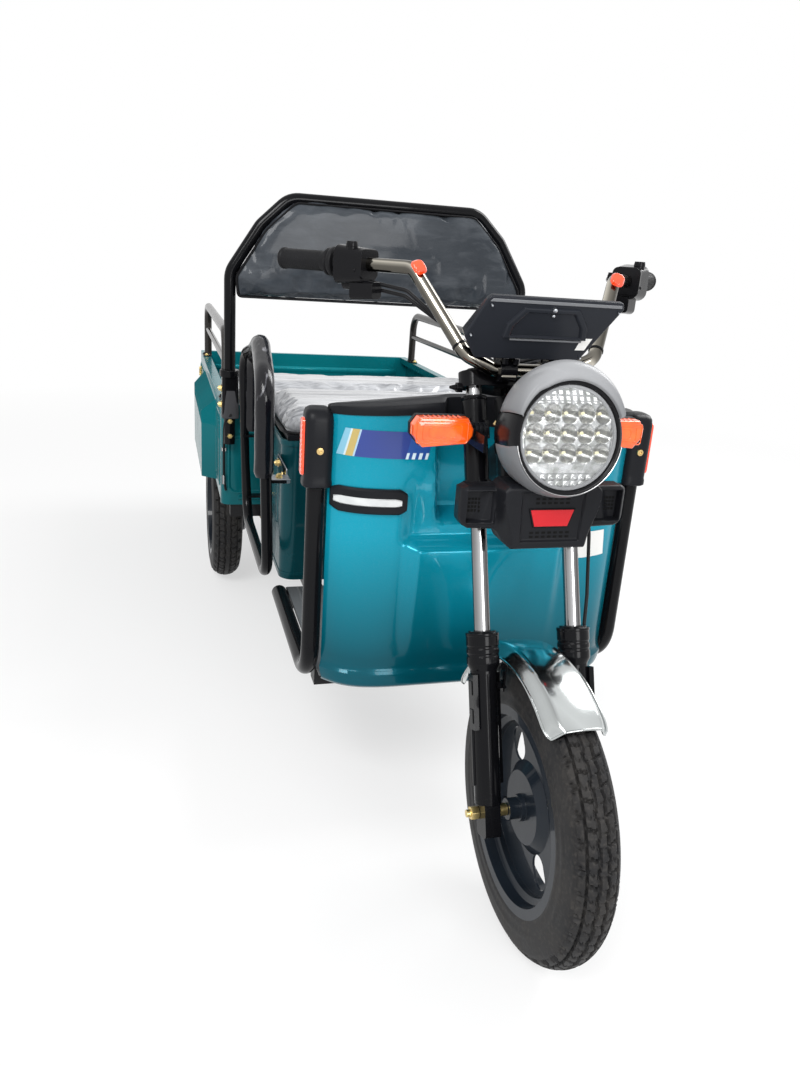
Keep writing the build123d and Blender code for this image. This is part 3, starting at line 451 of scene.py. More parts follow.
def thickened(obj, depth):
    # gives a skin its thickness, inwards
    m = obj.modifiers.new("thick", "SOLIDIFY")
    m.thickness = depth
    m.offset = -1.0
    return settle(obj)


def basis(origin, x, y, z):
    m = Matrix.Identity(4)
    for i, v in enumerate((x, y, z)):
        for row in range(3):
            m[row][i] = v[row]
    m.translation = origin
    return m


def outFrame(side, x, y, z):
    # a frame on a side wall: x runs along the body, y up, z outward
    return basis(Vector((side * x, st(y), z)), Vector((0, side, 0)), Vector((0, 0, 1)), Vector((side, 0, 0)))


def backFrame(x, y, z):
    # a frame on a wall that faces rearward
    return basis(Vector((x, st(y), z)), Vector((-1, 0, 0)), Vector((0, 0, 1)), Vector((0, 1, 0)))


def foreFrame(x, y, z):
    # a frame on a wall that faces forward
    return basis(Vector((x, st(y), z)), Vector((1, 0, 0)), Vector((0, 0, 1)), Vector((0, -1, 0)))


def aim(start, end):
    # a frame whose z runs from start to end
    z = (Vector(end) - Vector(start)).normalized()
    side = Vector((0, 0, 1)) if abs(z.z) < 0.9 else Vector((0, 1, 0))
    x = side.cross(z).normalized()
    return basis(Vector(start), x, z.cross(x), z)


def addGrid(bm, rows, closeU=False, closeV=False, flip=False):
    # rows of points joined with quads
    made = [[bm.verts.new(p) for p in row] for row in rows]
    n, m = len(made), len(made[0])
    for i in range(n if closeU else n - 1):
        for j in range(m if closeV else m - 1):
            quad = [made[i][j], made[(i + 1) % n][j], made[(i + 1) % n][(j + 1) % m], made[i][(j + 1) % m]]
            if flip:
                quad.reverse()
            bm.faces.new(quad)
    return made


def addCap(bm, ring, flip=False):
    ring = list(ring)
    if flip:
        ring.reverse()
    bm.faces.new(ring)


def addLathe(bm, profile, at, segments, closed=True):
    # profile of (radius, height) pairs turned about the frame's z
    rows = []
    for i in range(segments):
        a = math.radians(360.0 * i / segments)
        rows.append([at @ Vector((r * math.cos(a), r * math.sin(a), h)) for r, h in profile])
    addGrid(bm, rows, closeU=True, closeV=closed)


def addRod(bm, start, end, radius, sides=16, radiusEnd=None):
    at = aim(start, end)
    length = (Vector(end) - Vector(start)).length
    tip = radius if radiusEnd is None else radiusEnd
    rings = [[bm.verts.new(at @ Vector((x, y, h))) for x, y in circle(r, sides)]
             for r, h in ((radius, 0.0), (tip, length))]
    for k in range(sides):
        bm.faces.new([rings[0][k], rings[0][(k + 1) % sides], rings[1][(k + 1) % sides], rings[1][k]])
    addCap(bm, rings[0], True)
    addCap(bm, rings[1])


def addPrism(bm, outline, at, depth, taper=0.0):
    # outline of (x, y) pairs in the frame, pushed along its z; taper draws the far face in
    cx = sum(p[0] for p in outline) / len(outline)
    cy = sum(p[1] for p in outline) / len(outline)
    near = [bm.verts.new(at @ Vector((x, y, 0.0))) for x, y in outline]
    far = []
    for x, y in outline:
        d = math.hypot(x - cx, y - cy) or 1.0
        k = (d - taper) / d
        far.append(bm.verts.new(at @ Vector((cx + (x - cx) * k, cy + (y - cy) * k, depth))))
    n = len(outline)
    for k in range(n):
        bm.faces.new([near[k], near[(k + 1) % n], far[(k + 1) % n], far[k]])
    addCap(bm, near, True)
    addCap(bm, far)


def addBlock(bm, low, high, at=None):
    at = at or Matrix.Identity(4)
    corners = [(low[0], low[1]), (high[0], low[1]), (high[0], high[1]), (low[0], high[1])]
    addPrism(bm, corners, at @ Matrix.Translation((0, 0, low[2])), high[2] - low[2])


def addRim(bm, outline, at, profile, closed=True):
    # a section of (out, height) pairs carried round a closed outline
    n = len(outline)
    rows = []
    for k in range(n):
        (x0, y0), (x1, y1), (x2, y2) = outline[k - 1], outline[k], outline[(k + 1) % n]
        d = math.hypot(x2 - x0, y2 - y0) or 1.0
        nx, ny = (y2 - y0) / d, (x0 - x2) / d
        rows.append([at @ Vector((x1 + nx * out, y1 + ny * out, h)) for out, h in profile])
    addGrid(bm, rows, closeU=True, closeV=closed)


def rounded(width, height, radius, steps=5):
    # rounded rectangle about the middle
    points = []
    for cx, cy, a0 in ((1, 1, 0), (-1, 1, 90), (-1, -1, 180), (1, -1, 270)):
        for k in range(steps + 1):
            a = math.radians(a0 + 90.0 * k / steps)
            points.append((cx * (width / 2 - radius) + radius * math.cos(a),
                           cy * (height / 2 - radius) + radius * math.sin(a)))
    return points


def circle(radius, steps=24):
    return [(radius * math.cos(2 * math.pi * k / steps), radius * math.sin(2 * math.pi * k / steps))
            for k in range(steps)]


def softened(node, width, finishName, segments=2, angle=28.0):
    # a copy of a CAD node with its edges eased, which stands for the node
    source = nodes[node]
    bm = bmesh.new()
    bm.from_mesh(source.data)
    bmesh.ops.remove_doubles(bm, verts=bm.verts[:], dist=0.00002)
    bmesh.ops.dissolve_limit(bm, angle_limit=math.radians(0.6), verts=bm.verts[:], edges=bm.edges[:])
    obj = toObject(bm, node + "_body", 24.0, width, segments, angle)
    return adopt(obj, finishName, source["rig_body"], (node,))


def cable(name, points, radius):
    # a sheathed cable of the chassis along a smooth curve through control points
    curve = bpy.data.curves.new(name, "CURVE")
    curve.dimensions = "3D"
    curve.bevel_depth = radius
    curve.bevel_resolution = 4
    curve.use_fill_caps = True
    spline = curve.splines.new("NURBS")
    spline.points.add(len(points) - 1)
    for p, co in zip(spline.points, points):
        p.co = (*co, 1.0)
    spline.order_u = min(4, len(points))
    spline.use_endpoint_u = True
    spline.resolution_u = 10
    adopt(link(name, curve), "cableSheath", "chassis")


# the CAD nodes that stay in view, and their finishes
keptNodes = {
    "backrest_hoop": "blackEnamel", "brake_pedal": "blackEnamel", "cargo_rails": "railEnamel",
    "control_cables": "cableSheath", "floor_board": "floorEnamel", "fork_stanchions": "chromePlate",
    "leaf_springs": "frameEnamel", "main_frame": "frameEnamel", "rear_axle": "castMetal",
    "seat_pan": "blackPlastic", "side_tubes": "blackEnamel",
}
for node, name in keptNodes.items():
    worn = nodes[node].data.materials
    worn.clear()
    worn.append(finishes[name].material)
print("kept nodes dressed")

# tyres: the crown's half width and rise are those of the front tyre, and the tread is in its millimetres
tread = {
    "crownHalf": 0.0335, "crownRise": 0.017, "depth": 0.0052, "ribHalf": 6.2, "lobe": 2.6, "gap": 3.4,
    "rowOuter": 23.5, "shoulderInner": 26.5, "shoulderOuter": 37.5,
}


def smoothStep(x, low, high):
    t = min(1.0, max(0.0, (x - low) / (high - low)))
    return t * t * (3.0 - 2.0 * t)


def treadHeight(along, across, scale):
    # 0 in a groove and 1 on a block; along counts pitches, across is millimetres from the middle
    v = abs(across) / scale
    a = (along + (0.5 if across < 0 else 0.0)) % 1.0
    bump = math.exp(-((a - 0.5) / 0.15) ** 2)
    rib = tread["ribHalf"] + tread["lobe"] * (bump - 0.35)
    if v < rib:
        sipe = abs(((along * 2.0 + 0.25) % 1.0) - 0.5)
        cut = 0.55 * (1.0 - smoothStep(sipe, 0.02, 0.06)) * smoothStep(v, 0.6, 1.6)
        return smoothStep(rib - v, 0.0, 0.9) * (1.0 - cut)
    inner = rib + tread["gap"] - 1.2 * math.exp(-((a - 0.04) / 0.12) ** 2)
    if v < tread["rowOuter"] + 1.0:
        slant = (a + 0.010 * (v - 16.0)) % 1.0
        cross = min(slant, 1.0 - slant)
        block = smoothStep(v - inner, 0.0, 0.9) * smoothStep(tread["rowOuter"] - v, -0.6, 0.6)
        block *= smoothStep(cross, 0.040, 0.075)
        kink = 0.5 + 0.13 * (1.0 - 2.0 * abs(((v - inner) / 6.4) % 2.0 - 1.0))
        cut = 0.6 * (1.0 - smoothStep(abs(a - kink), 0.022, 0.05)) * smoothStep(v - inner, 1.5, 3.0)
        return block * (1.0 - cut)
    if v < tread["shoulderOuter"] + 3.0:
        slant = (a + 0.5) % 1.0
        cross = min(slant, 1.0 - slant)
        slot = min(abs(a - 0.30), abs(a - 0.70))
        block = smoothStep(v - tread["shoulderInner"], -0.6, 0.6)
        block *= smoothStep(tread["shoulderOuter"] - v, -2.6, 0.8)
        block *= smoothStep(cross, 0.045, 0.085)
        return block * (1.0 - 0.7 * (1.0 - smoothStep(slot, 0.03, 0.06)) * smoothStep(v, 31.0, 33.0))
    return 0.0


def addTyre(name, cadNode, bodyName, radius, width, centre, pitches, perPitch, crownCells):
    # pitches of the tread round the tyre, each cut into perPitch rows, and cells across the crown
    half = width / 2
    seat = wheel["bead"]
    scale = width / wheel["frontWide"]
    crownR = (tread["crownHalf"] ** 2 + tread["crownRise"] ** 2) / (2 * tread["crownRise"]) * scale
    crownHalf = math.asin(tread["crownHalf"] * scale / crownR)
    drop = crownR * (1 - math.cos(crownHalf))
    section = []
    # sidewall up from the bead, with its raised rings, then the crown, then down the other side
    wall = []
    steps = 16
    shoulderR = radius - drop
    for k in range(steps + 1):
        t = k / steps
        r = seat + 0.004 + (shoulderR - seat - 0.004) * t
        bulge = half * (0.885 + 0.115 * math.sin(math.pi * min(1.0, t * 0.92 + 0.10)) ** 0.8)
        if t > 0.999:
            bulge = crownR * math.sin(crownHalf)
        ring = 0.0009 if 3 <= k <= 4 or k == 8 else 0.0
        wall.append((bulge + ring, r, None))
    wall.insert(0, (half * 0.80, seat - 0.001, None))
    section.extend((-x, r, None) for x, r, _ in wall[:-1])
    for k in range(crownCells + 1):
        a = crownHalf * (2.0 * k / crownCells - 1.0)
        section.append((crownR * math.sin(a), radius - crownR * (1 - math.cos(a)), a))
    section.extend((x, r, None) for x, r, _ in reversed(wall[:-1]))
    around = pitches * perPitch
    bm = bmesh.new()
    rows = []
    for i in range(around):
        turn = 2 * math.pi * i / around
        along = i / perPitch
        row = []
        for x, r, a in section:
            if a is not None:
                deep = tread["depth"] * (1.0 - treadHeight(along, crownR * a * 1000.0, scale))
                edge = smoothStep(abs(a) / crownHalf, 0.90, 1.0)
                deep *= 1.0 - 0.55 * edge
                x = x - math.sin(a) * deep
                r = r - math.cos(a) * deep
            row.append(Vector(centre) + Vector((x, -r * math.sin(turn), r * math.cos(turn))))
        rows.append(row)
    addGrid(bm, rows, closeU=True, closeV=True)
    finished(bm, name, "tyreRubber", bodyName, 50.0, replaced=(cadNode,))


frontHub = (0.0, st(0.0), wheel["front"])
rearHub = {side: (side * wheel["rearHalf"], st(wheel["rearBehind"]), wheel["rear"]) for side in (1, -1)}
addTyre("front_tyre_tread", "front_tyre", "front_wheel", wheel["front"], wheel["frontWide"], frontHub, 38,
        16, 46)
for side, label in bothSides:
    addTyre("rear_tyre_tread_" + label, "rear_tyre_" + label, "rear_wheel_" + label, wheel["rear"],
            wheel["rearWide"], rearHub[side], 36, 12, 34)
print("tyres made")


# wheel details
for side, label in bothSides:
    # five nuts on their studs, and the valve
    bm = bmesh.new()
    centre = Vector(rearHub[side])
    for k in range(5):
        a = math.radians(72 * k + 18)
        spot = centre + Vector((side * 0.010, wheel["nutRing"] * math.cos(a), wheel["nutRing"] * math.sin(a)))
        addPrism(bm, circle(0.0085, 6), aim(spot, spot + Vector((side * 0.01, 0, 0))), 0.007)
        addRod(bm, spot, spot + Vector((side * 0.011, 0, 0)), 0.0042, 12)
    a = math.radians(200)
    spot = centre + Vector((side * 0.016, wheel["valveRing"] * math.cos(a), wheel["valveRing"] * math.sin(a)))
    inward = Vector((0, -math.cos(a), -math.sin(a)))
    neck = spot + inward * 0.012 + Vector((side * 0.006, 0, 0))
    addRod(bm, spot, neck, 0.0042, 12)
    addRod(bm, neck, spot + inward * 0.030 + Vector((side * 0.014, 0, 0)), 0.003, 12)
    finished(bm, "wheel_nuts_" + label, "zincYellow", "rear_wheel_" + label, 32.0, 0.0006)
print("wheels dressed")

# fork legs: eased CAD forms, then the turned and pressed details on them
fork = {"collarLow": 0.452, "collarTop": 0.5105, "ribLow": 0.285, "ribTop": 0.448}
rakeDir = Vector((0, math.sin(body["rake"]), math.cos(body["rake"])))
foreDir = Vector((0, -math.cos(body["rake"]), math.sin(body["rake"])))


def legFrame(side, z):
    # x sideways, y ahead of the leg, z up along it
    return basis(onLeg(side, z), Vector((1, 0, 0)) * side, foreDir, rakeDir)


def alongLeg(low, high):
    return (high - low) / math.cos(body["rake"])


softened("fork_lowers", 0.0014, "blackEnamel")
softened("fork_covers", 0.0012, "blackEnamel")
softened("steering_stem", 0.0014, "blackEnamel")
bm = bmesh.new()
for side in (1, -1):
    at = legFrame(side, fork["collarLow"])
    h = alongLeg(fork["collarLow"], fork["collarTop"])
    addLathe(bm, [(0.0212, 0.0), (0.0215, 0.002), (0.0258, 0.010), (0.0262, 0.012), (0.0262, 0.022),
                  (0.0252, 0.0235), (0.0252, 0.0265), (0.0262, 0.028), (0.0262, 0.034), (0.0252, 0.0355),
                  (0.0252, 0.0385), (0.0262, 0.040), (0.0262, h - 0.008), (0.0268, h - 0.007),
                  (0.0268, h - 0.0035), (0.0258, h - 0.0025), (0.0222, h - 0.0022), (0.0218, h),
                  (0.0150, h), (0.0136, h - 0.003), (0.0136, 0.0)], at, 56)
    # ribs cast down the leg
    low = legFrame(side, fork["ribLow"])
    length = alongLeg(fork["ribLow"], fork["ribTop"])
    addPrism(bm, [(0.0195, -0.0035), (0.0238, -0.0025), (0.0238, 0.0025), (0.0195, 0.0035)], low, length, 0.0)
    addPrism(bm, [(-0.0195, -0.0045), (-0.0270, -0.0030), (-0.0270, 0.0010), (-0.0195, 0.0035)], low,
             length, 0.0)
    addPrism(bm, [(-0.003, 0.0205), (-0.0015, 0.0225), (0.0015, 0.0225), (0.003, 0.0205)], low, length, 0.0)
    # lower end cap and drain screw
    foot = legFrame(side, 0.2585)
    addLathe(bm, [(0.0, -0.004), (0.012, -0.004), (0.018, -0.001), (0.0212, 0.004), (0.0212, 0.010),
                  (0.0, 0.010)], foot, 40, closed=False)
    # seal lip at the top of the sleeve and clamp ring
    ring = legFrame(side, 0.8525)
    addLathe(bm, [(0.0136, 0.0), (0.0198, 0.0), (0.0206, 0.0015), (0.0206, 0.005), (0.0196, 0.0065),
                  (0.0136, 0.0065)], ring, 40)
    # slots on the reflector bracket
    plate = legFrame(side, 0.408)
    for k in (-1, 1):
        addBlock(bm, (0.0248, 0.0015, 0.022 * k - 0.011), (0.0262, 0.0145, 0.022 * k + 0.011), plate)
finished(bm, "fork_rings", "blackEnamel", "steering", 32.0, 0.0005)

# fender stays: a strap from each leg up to the fender's edge
bm = bmesh.new()
for side in (1, -1):
    y = st(legY(0.430))
    for a, b, low, high in ((0.044, 0.062, 0.4265, 0.4295), (0.0465, 0.0490, 0.4200, 0.4720)):
        x0, x1 = sorted((side * a, side * b))
        addBlock(bm, (x0, y - 0.009, low), (x1, y + 0.009, high))
    addRod(bm, (side * 0.0485, y, 0.460), (side * 0.0525, y, 0.460), 0.005, 6)
finished(bm, "fender_stays", "blackEnamel", "steering", 32.0, 0.0006)

# yoke bolts, one each side, and the stem nut
bm = bmesh.new()
for side in (1, -1):
    base = onLeg(side, 0.872, 0.020, 0.0)
    addRod(bm, base, base + Vector((side * 0.010, 0, 0)), 0.0085, 6)
    addRod(bm, base + Vector((side * 0.010, 0, 0)), base + Vector((side * 0.021, 0, 0)), 0.0050, 16, 0.0022)
    cap = legFrame(side, 0.8950)
    addLathe(bm, [(0.0, 0.006), (0.0085, 0.006), (0.0125, 0.0035), (0.0135, 0.0), (0.0, 0.0)], cap, 32,
             closed=False)
stem = basis(Vector((0, st(legY(0.884) + 0.041), 0.884)), Vector((1, 0, 0)), foreDir * -1, rakeDir)
addPrism(bm, circle(0.017, 6), stem, 0.010)
addLathe(bm, [(0.0, 0.016), (0.007, 0.016), (0.011, 0.012), (0.011, 0.010), (0.0, 0.010)], stem, 28,
         closed=False)
finished(bm, "yoke_bolts", "blackEnamel", "steering", 32.0, 0.0006)
softened("front_axle", 0.0007, "zincYellow")
softened("front_rim", 0.0012, "rimEnamel", 2, 24.0)
for label in ("left", "right"):
    softened("rear_rim_" + label, 0.0012, "rimEnamel", 2, 24.0)

# fender: crowned strip with a rolled bead along both edges
fender = {"radius": 0.2565, "middle": 0.0218, "half": 0.0505, "front": -34.0, "back": 66.0, "thick": 0.0016}
bm = bmesh.new()
rows = []
profile = []
for k in range(33):
    s = k / 16.0 - 1.0
    a = abs(s)
    x = fender["half"] * s * (0.985 if a > 0.97 else 1.0)
    r = fender["radius"] + 0.0025 - 0.0065 * a ** 2 - 0.0165 * smoothStep(a, 0.62, 1.0)
    profile.append((x, r))
steps = 84
for i in range(steps + 1):
    t = i / steps
    angle = math.radians(fender["front"] + (fender["back"] - fender["front"]) * t)
    tip = min(t / 0.06, (1 - t) / 0.06, 1.0)
    narrow = 1.0 - 0.16 * (1.0 - math.sqrt(max(0.0, 1 - (1 - tip) ** 2)))
    row = []
    for x, r in profile:
        wave = 0.0006 * math.sin(angle * 9.0 + x * 60.0)
        row.append(Vector((x * narrow, st(fender["middle"]) + (r + wave) * math.sin(angle),
                           wheel["front"] + (r + wave) * math.cos(angle))))
    rows.append(row)
addGrid(bm, rows)
fixFaces(bm)
fenderObj = thickened(toObject(bm, "front_fender_shell", 50.0), fender["thick"])
adopt(fenderObj, "fenderChrome", "steering", ("front_fender",))
bm = bmesh.new()
for s in (0, -1):
    rim = [row[s] for row in rows]
    for a, b in zip(rim, rim[1:]):
        addRod(bm, a, b, 0.0019, 10)
for row in (rows[0], rows[-1]):
    for a, b in zip(row, row[1:]):
        addRod(bm, a, b, 0.0019, 10)
finished(bm, "fender_bead", "fenderChrome", "steering", 70.0)
print("fork made")

# leg shield
shield = {
    "half": 0.286, "front": 0.300, "edge": 0.352, "flat": 0.150, "low": 0.300, "top": 0.812, "patch": 0.0007,
    "ledgeFront": 0.571, "ledgeBack": 0.594, "swell": 0.016, "scoop": 0.014, "nicheHalf": 0.098,
    "nicheDeep": 0.048,
    "band": 0.338, "bandOut": 0.006, "sheet": 0.0022,
}


def shieldPlan(x):
    # station of the plain bowed front at this x
    a = abs(x)
    if a <= shield["flat"]:
        return shield["front"]
    t = (a - shield["flat"]) / (shield["half"] - shield["flat"])
    return shield["front"] + (shield["edge"] - shield["front"]) * (0.42 * t ** 2 + 0.58 * t ** 4.5)


def shieldY(x, z):
    a = abs(x)
    y = shieldPlan(x)
    # lower swell with its ledge, fading downwards
    fade = 0.25 + 0.75 * smoothStep(z, 0.36, 0.56)
    fade *= smoothStep(z, 0.345, 0.42)
    rise = 1.0 - smoothStep(z, shield["ledgeFront"], shield["ledgeBack"])
    y -= shield["swell"] * fade * rise * (1.0 - smoothStep(a, 0.130, 0.158))
    # scoop above the ledge, fading upwards
    scoop = smoothStep(z, shield["ledgeFront"] + 0.006, shield["ledgeBack"] + 0.002)
    scoop *= 1.0 - smoothStep(z, 0.600, 0.735)
    y += shield["scoop"] * scoop * (1.0 - smoothStep(a, 0.138, 0.170))
    # niche for the steering head
    halfWidth = shield["nicheHalf"] + 0.10 * (z - 0.70)
    niche = (1.0 - smoothStep(a, halfWidth - 0.012, halfWidth + 0.010)) * smoothStep(z, 0.612, 0.640)
    y += shield["nicheDeep"] * niche
    # flared band along the bottom
    y -= shield["bandOut"] * (1.0 - smoothStep(z, shield["band"] - 0.004, shield["band"] + 0.001))
    y += 0.012 * (1.0 - smoothStep(z, shield["low"] - 0.002, shield["low"] + 0.010))
    return y


def spread(stops, per):
    # values between stops, denser where the stops are close
    values = []
    for a, b in zip(stops, stops[1:]):
        n = max(1, int(round((b - a) / per)))
        values.extend(a + (b - a) * k / n for k in range(n))
    values.append(stops[-1])
    return values


bm = bmesh.new()
xs = spread([-0.286, -0.280, 0.280, 0.286], 0.0042)
zs = [shield["low"], 0.3015, 0.304, 0.308] + spread([0.312, 0.332, 0.342, 0.564, 0.600, 0.642,
                                                     shield["top"]], 0.0045)
front = []
for z in zs:
    # the band along the bottom stands out at its ends and is tucked in below
    wide = 1.0 + 0.012 * (1.0 - smoothStep(z, 0.334, 0.339))
    tuck = 1.0 - 0.020 * smoothStep(0.345 - z, 0.0, 0.045) ** 2
    front.append([Vector((x * wide * tuck, st(shieldY(x, z)), z)) for x in xs])
addGrid(bm, front, flip=True)
shieldObj = thickened(toObject(bm, "leg_shield", 42.0), shield["sheet"])
adopt(shieldObj, "tealPaint", "chassis", ("front_shield",))


def onShield(name, corners, finishName, cells):
    # a thin patch that follows the shield; corners are (x, z) pairs
    (x0, z0), (x1, z1), (x2, z2), (x3, z3) = corners
    rows = []
    for j in range(cells[1] + 1):
        t = j / cells[1]
        row = []
        for i in range(cells[0] + 1):
            s = i / cells[0]
            x = (x0 * (1 - s) + x1 * s) * (1 - t) + (x3 * (1 - s) + x2 * s) * t
            z = (z0 * (1 - s) + z1 * s) * (1 - t) + (z3 * (1 - s) + z2 * s) * t
            row.append(Vector((x, st(shieldY(x, z)) - shield["patch"], z)))
        rows.append(row)
    bm = bmesh.new()
    addGrid(bm, rows)
    adopt(toObject(bm, name, 60.0), finishName, "chassis")


decal = Finish("stripeDecal", (0.01, 0.05, 0.30), 0.30, 0.0, Coat_Weight=0.6)
slant = decal.axis(0) - (decal.axis(2) - 0.766) * 0.22
bands = decal.ramp(decal.span(slant, 0.0, 1.0, -0.268, -0.090),
                   (0.0, (0.16, 0.38, 0.50)), (0.045, (0.45, 0.55, 0.58)), (0.060, (0.40, 0.30, 0.09)),
                   (0.125, (0.30, 0.44, 0.55)), (0.140, (0.006, 0.028, 0.20)), (0.62, (0.008, 0.06, 0.27)),
                   (0.93, (0.45, 0.62, 0.72)))
bands.out.node.color_ramp.interpolation = "CONSTANT"
low = 1.0 - decal.span(decal.axis(2), 0.0, 1.0, 0.7475, 0.7485)
right = decal.span(slant, 0.0, 1.0, -0.158, -0.157)
comb = (slant * 85.0).math("FRACT") > 0.5
hatch = (low * right * comb).clamp()
decal.put("Base Color", decal.mix(hatch, bands, rgba(0.55, 0.68, 0.74)))
decal.put("Roughness", decal.span(decal.noise(20.0, 3.0), 0.22, 0.4))
onShield("stripe_decal", [(-0.2760, 0.738), (-0.1250, 0.737), (-0.1150, 0.784), (-0.2640, 0.785)],
         "stripeDecal", (36, 12))
onShield("blank_label", [(0.180, 0.547), (0.246, 0.549), (0.240, 0.599), (0.178, 0.598)],
         "blankLabel", (10, 8))
print("shield made")

# shield trim and caps
trim = {"back": 0.378, "lift": 0.0035, "edge": 0.006, "nicheDeep": 0.040, "capX": 0.3045}
trimTop = [(0.0, 0.842), (0.074, 0.840), (0.172, 0.831), (0.275, 0.821), (0.286, 0.818)]
trimLow = [(0.0, 0.786), (0.086, 0.786), (0.098, 0.797), (0.112, 0.812), (0.150, 0.812), (0.230, 0.808),
           (0.286, 0.804)]


def along(table, x):
    # the height at this x on a line that is the same on both sides
    a = abs(x)
    for (x0, v0), (x1, v1) in zip(table, table[1:]):
        if a <= x1:
            return v0 + (v1 - v0) * (a - x0) / (x1 - x0)
    return table[-1][1]


bm = bmesh.new()
rows = []
for x in spread([-0.286, -0.120, -0.080, 0.080, 0.120, 0.286], 0.006):
    top = along(trimTop, x)
    low = along(trimLow, x)
    y = min(shieldPlan(x), 0.350) - trim["lift"]
    y += trim["nicheDeep"] * (1.0 - smoothStep(abs(x), 0.084, 0.104))
    back, r = trim["back"], trim["edge"]
    section = [(y + 0.006, low), (y + 0.001, low + 0.001), (y, low + 0.004), (y, top - r),
               (y + 0.25 * r, top - 0.25 * r), (y + r, top), (0.5 * (y + back), top + 0.001),
               (back - r, top - 0.002), (back - 0.3 * r, top - 0.3 * r - 0.002), (back, top - r - 0.002),
               (back, 0.700), (back - 0.004, 0.698), (back - 0.006, 0.702), (back - 0.006, top - 0.020),
               (y + 0.012, top - 0.016), (y + 0.008, low + 0.002)]
    rows.append([Vector((x, st(a), b)) for a, b in section])
made = addGrid(bm, rows, closeV=True)
addCap(bm, made[0])
addCap(bm, made[-1], True)
finished(bm, "shield_moulding", "blackPlastic", "chassis", 40.0, replaced=("shield_trim",))

bm = bmesh.new()
for side in (1, -1):
    rows = []
    stops = [(0.676, 0.90, 0.0), (0.678, 1.0, 0.0), (0.686, 1.0, 0.0), (0.690, 0.955, 0.0),
             (0.700, 0.955, 0.0), (0.760, 0.97, 0.0), (0.792, 0.97, 0.0), (0.803, 0.93, 0.002),
             (0.809, 0.82, 0.005), (0.812, 0.60, 0.008), (0.813, 0.25, 0.010)]
    for z, k, back in stops:
        ring = []
        for px, py in rounded(0.052, 0.052, 0.017, 6):
            ring.append(Vector((side * trim["capX"] + px * k, st(0.361 + back + py * k), z)))
        rows.append(ring)
    made = addGrid(bm, rows, closeV=True)
    addCap(bm, made[0])
    addCap(bm, made[-1])
finished(bm, "shield_corner_caps", "blackPlastic", "chassis", 40.0)

bm = bmesh.new()
for side in (1, -1):
    addLathe(bm, [(0.0, 0.002), (0.0022, 0.002), (0.0026, 0.0035), (0.0060, 0.0032), (0.0068, 0.0016),
                  (0.0070, -0.001),
                  (0.0, -0.001)], foreFrame(side * trim["capX"], 0.3365, 0.742), 20, closed=False)
finished(bm, "cap_screws", "brass", "chassis", 40.0)


# white front markers in black housings
def markerShell(side, x0, x1, z0, z1, skin, face, rim):
    # a low box that follows the shield, from skin to face ahead of it, with eased ends
    rows = []
    count = 20
    for i in range(count + 1):
        x = x0 + (x1 - x0) * i / count
        endEase = min(i, count - i)
        pinch = 0.0 if endEase > 1 else rim * (1.0 - endEase * 0.6)
        y = shieldPlan(x)
        section = [(skin, z0 + pinch), (face * 0.6, z0 + pinch), (face, z0 + pinch + 0.0035),
                   (face, z1 - pinch - 0.0035), (face * 0.6, z1 - pinch), (skin, z1 - pinch)]
        rows.append([Vector((side * x, st(y) - d, z)) for d, z in section])
    bm = bmesh.new()
    made = addGrid(bm, rows, closeV=True)
    addCap(bm, made[0])
    addCap(bm, made[-1], True)
    return bm


for side, label in bothSides:
    finished(markerShell(side, 0.157, 0.283, 0.639, 0.684, -0.002, 0.0085, 0.007), "marker_housing_" + label,
             "blackPlastic", "chassis", 35.0)
    finished(markerShell(side, 0.167, 0.279, 0.652, 0.670, 0.004, 0.0105, 0.002), "marker_strip_" + label,
             "markerStrip", "chassis", 35.0, replaced=("marker_lamps",))

# side reflectors with pressed ribs
bm = bmesh.new()
for side in (1, -1):
    at = outFrame(side, 0.3292, 0.360, 0.7455)
    addPrism(bm, rounded(0.024, 0.101, 0.008, 4), at, 0.0045, 0.0015)
    for k in range(-5, 6):
        addBlock(bm, (-0.009, 0.0085 * k - 0.003, 0.0042), (0.009, 0.0085 * k + 0.003, 0.0050), at)
finished(bm, "reflector_plates", "redOrangeLens", "chassis", 35.0, 0.0006,
         replaced=("side_reflectors",))
print("shield trim made")

# headlight: black housing, silver visor and lower trim, reflector bowls and cover glass
lamp = {
    "behind": 0.035, "up": 0.834, "tilt": math.radians(7.84), "bowlPitchX": 0.0268, "bowlPitchY": 0.0285,
    "bowlRise": 0.0065, "step": 0.0026, "skin": 0.0016, "visorFrom": 22.0, "visorSpan": 136.0,
    "lowerFrom": 188.0, "lowerSpan": 164.0,
}
lampTilt = lamp["tilt"]
lampAt = basis(Vector((0, st(lamp["behind"]), lamp["up"])), Vector((1, 0, 0)),
               Vector((0, math.sin(lampTilt), math.cos(lampTilt))),
               Vector((0, -math.cos(lampTilt), math.sin(lampTilt))))


def polar(radius, angle, fore):
    # a point round the lamp's axis
    a = math.radians(angle)
    return lampAt @ Vector((radius * math.cos(a), radius * math.sin(a), fore))


bm = bmesh.new()
housing = [(0.0762, -0.010), (0.0764, 0.0005), (0.0772, 0.0020), (0.0790, 0.0030), (0.0812, 0.0032),
           (0.0826, 0.0020), (0.0850, -0.0040), (0.0873, -0.0130), (0.0886, -0.0240), (0.0888, -0.0420),
           (0.0872, -0.0600), (0.0838, -0.0800), (0.0735, -0.1040), (0.0600, -0.1140), (0.0400, -0.1190),
           (0.0, -0.1210)]
rows = [[polar(r, 5.0 * i, f) for r, f in housing[:-1]] for i in range(72)]
made = addGrid(bm, rows, closeU=True)
centre = bm.verts.new(polar(0.0, 0.0, housing[-1][1]))
for i in range(72):
    bm.faces.new([made[i][-1], centre, made[(i + 1) % 72][-1]])
finished(bm, "headlight_body", "glossBlack", "steering", 42.0,
         replaced=("headlight_shell",))


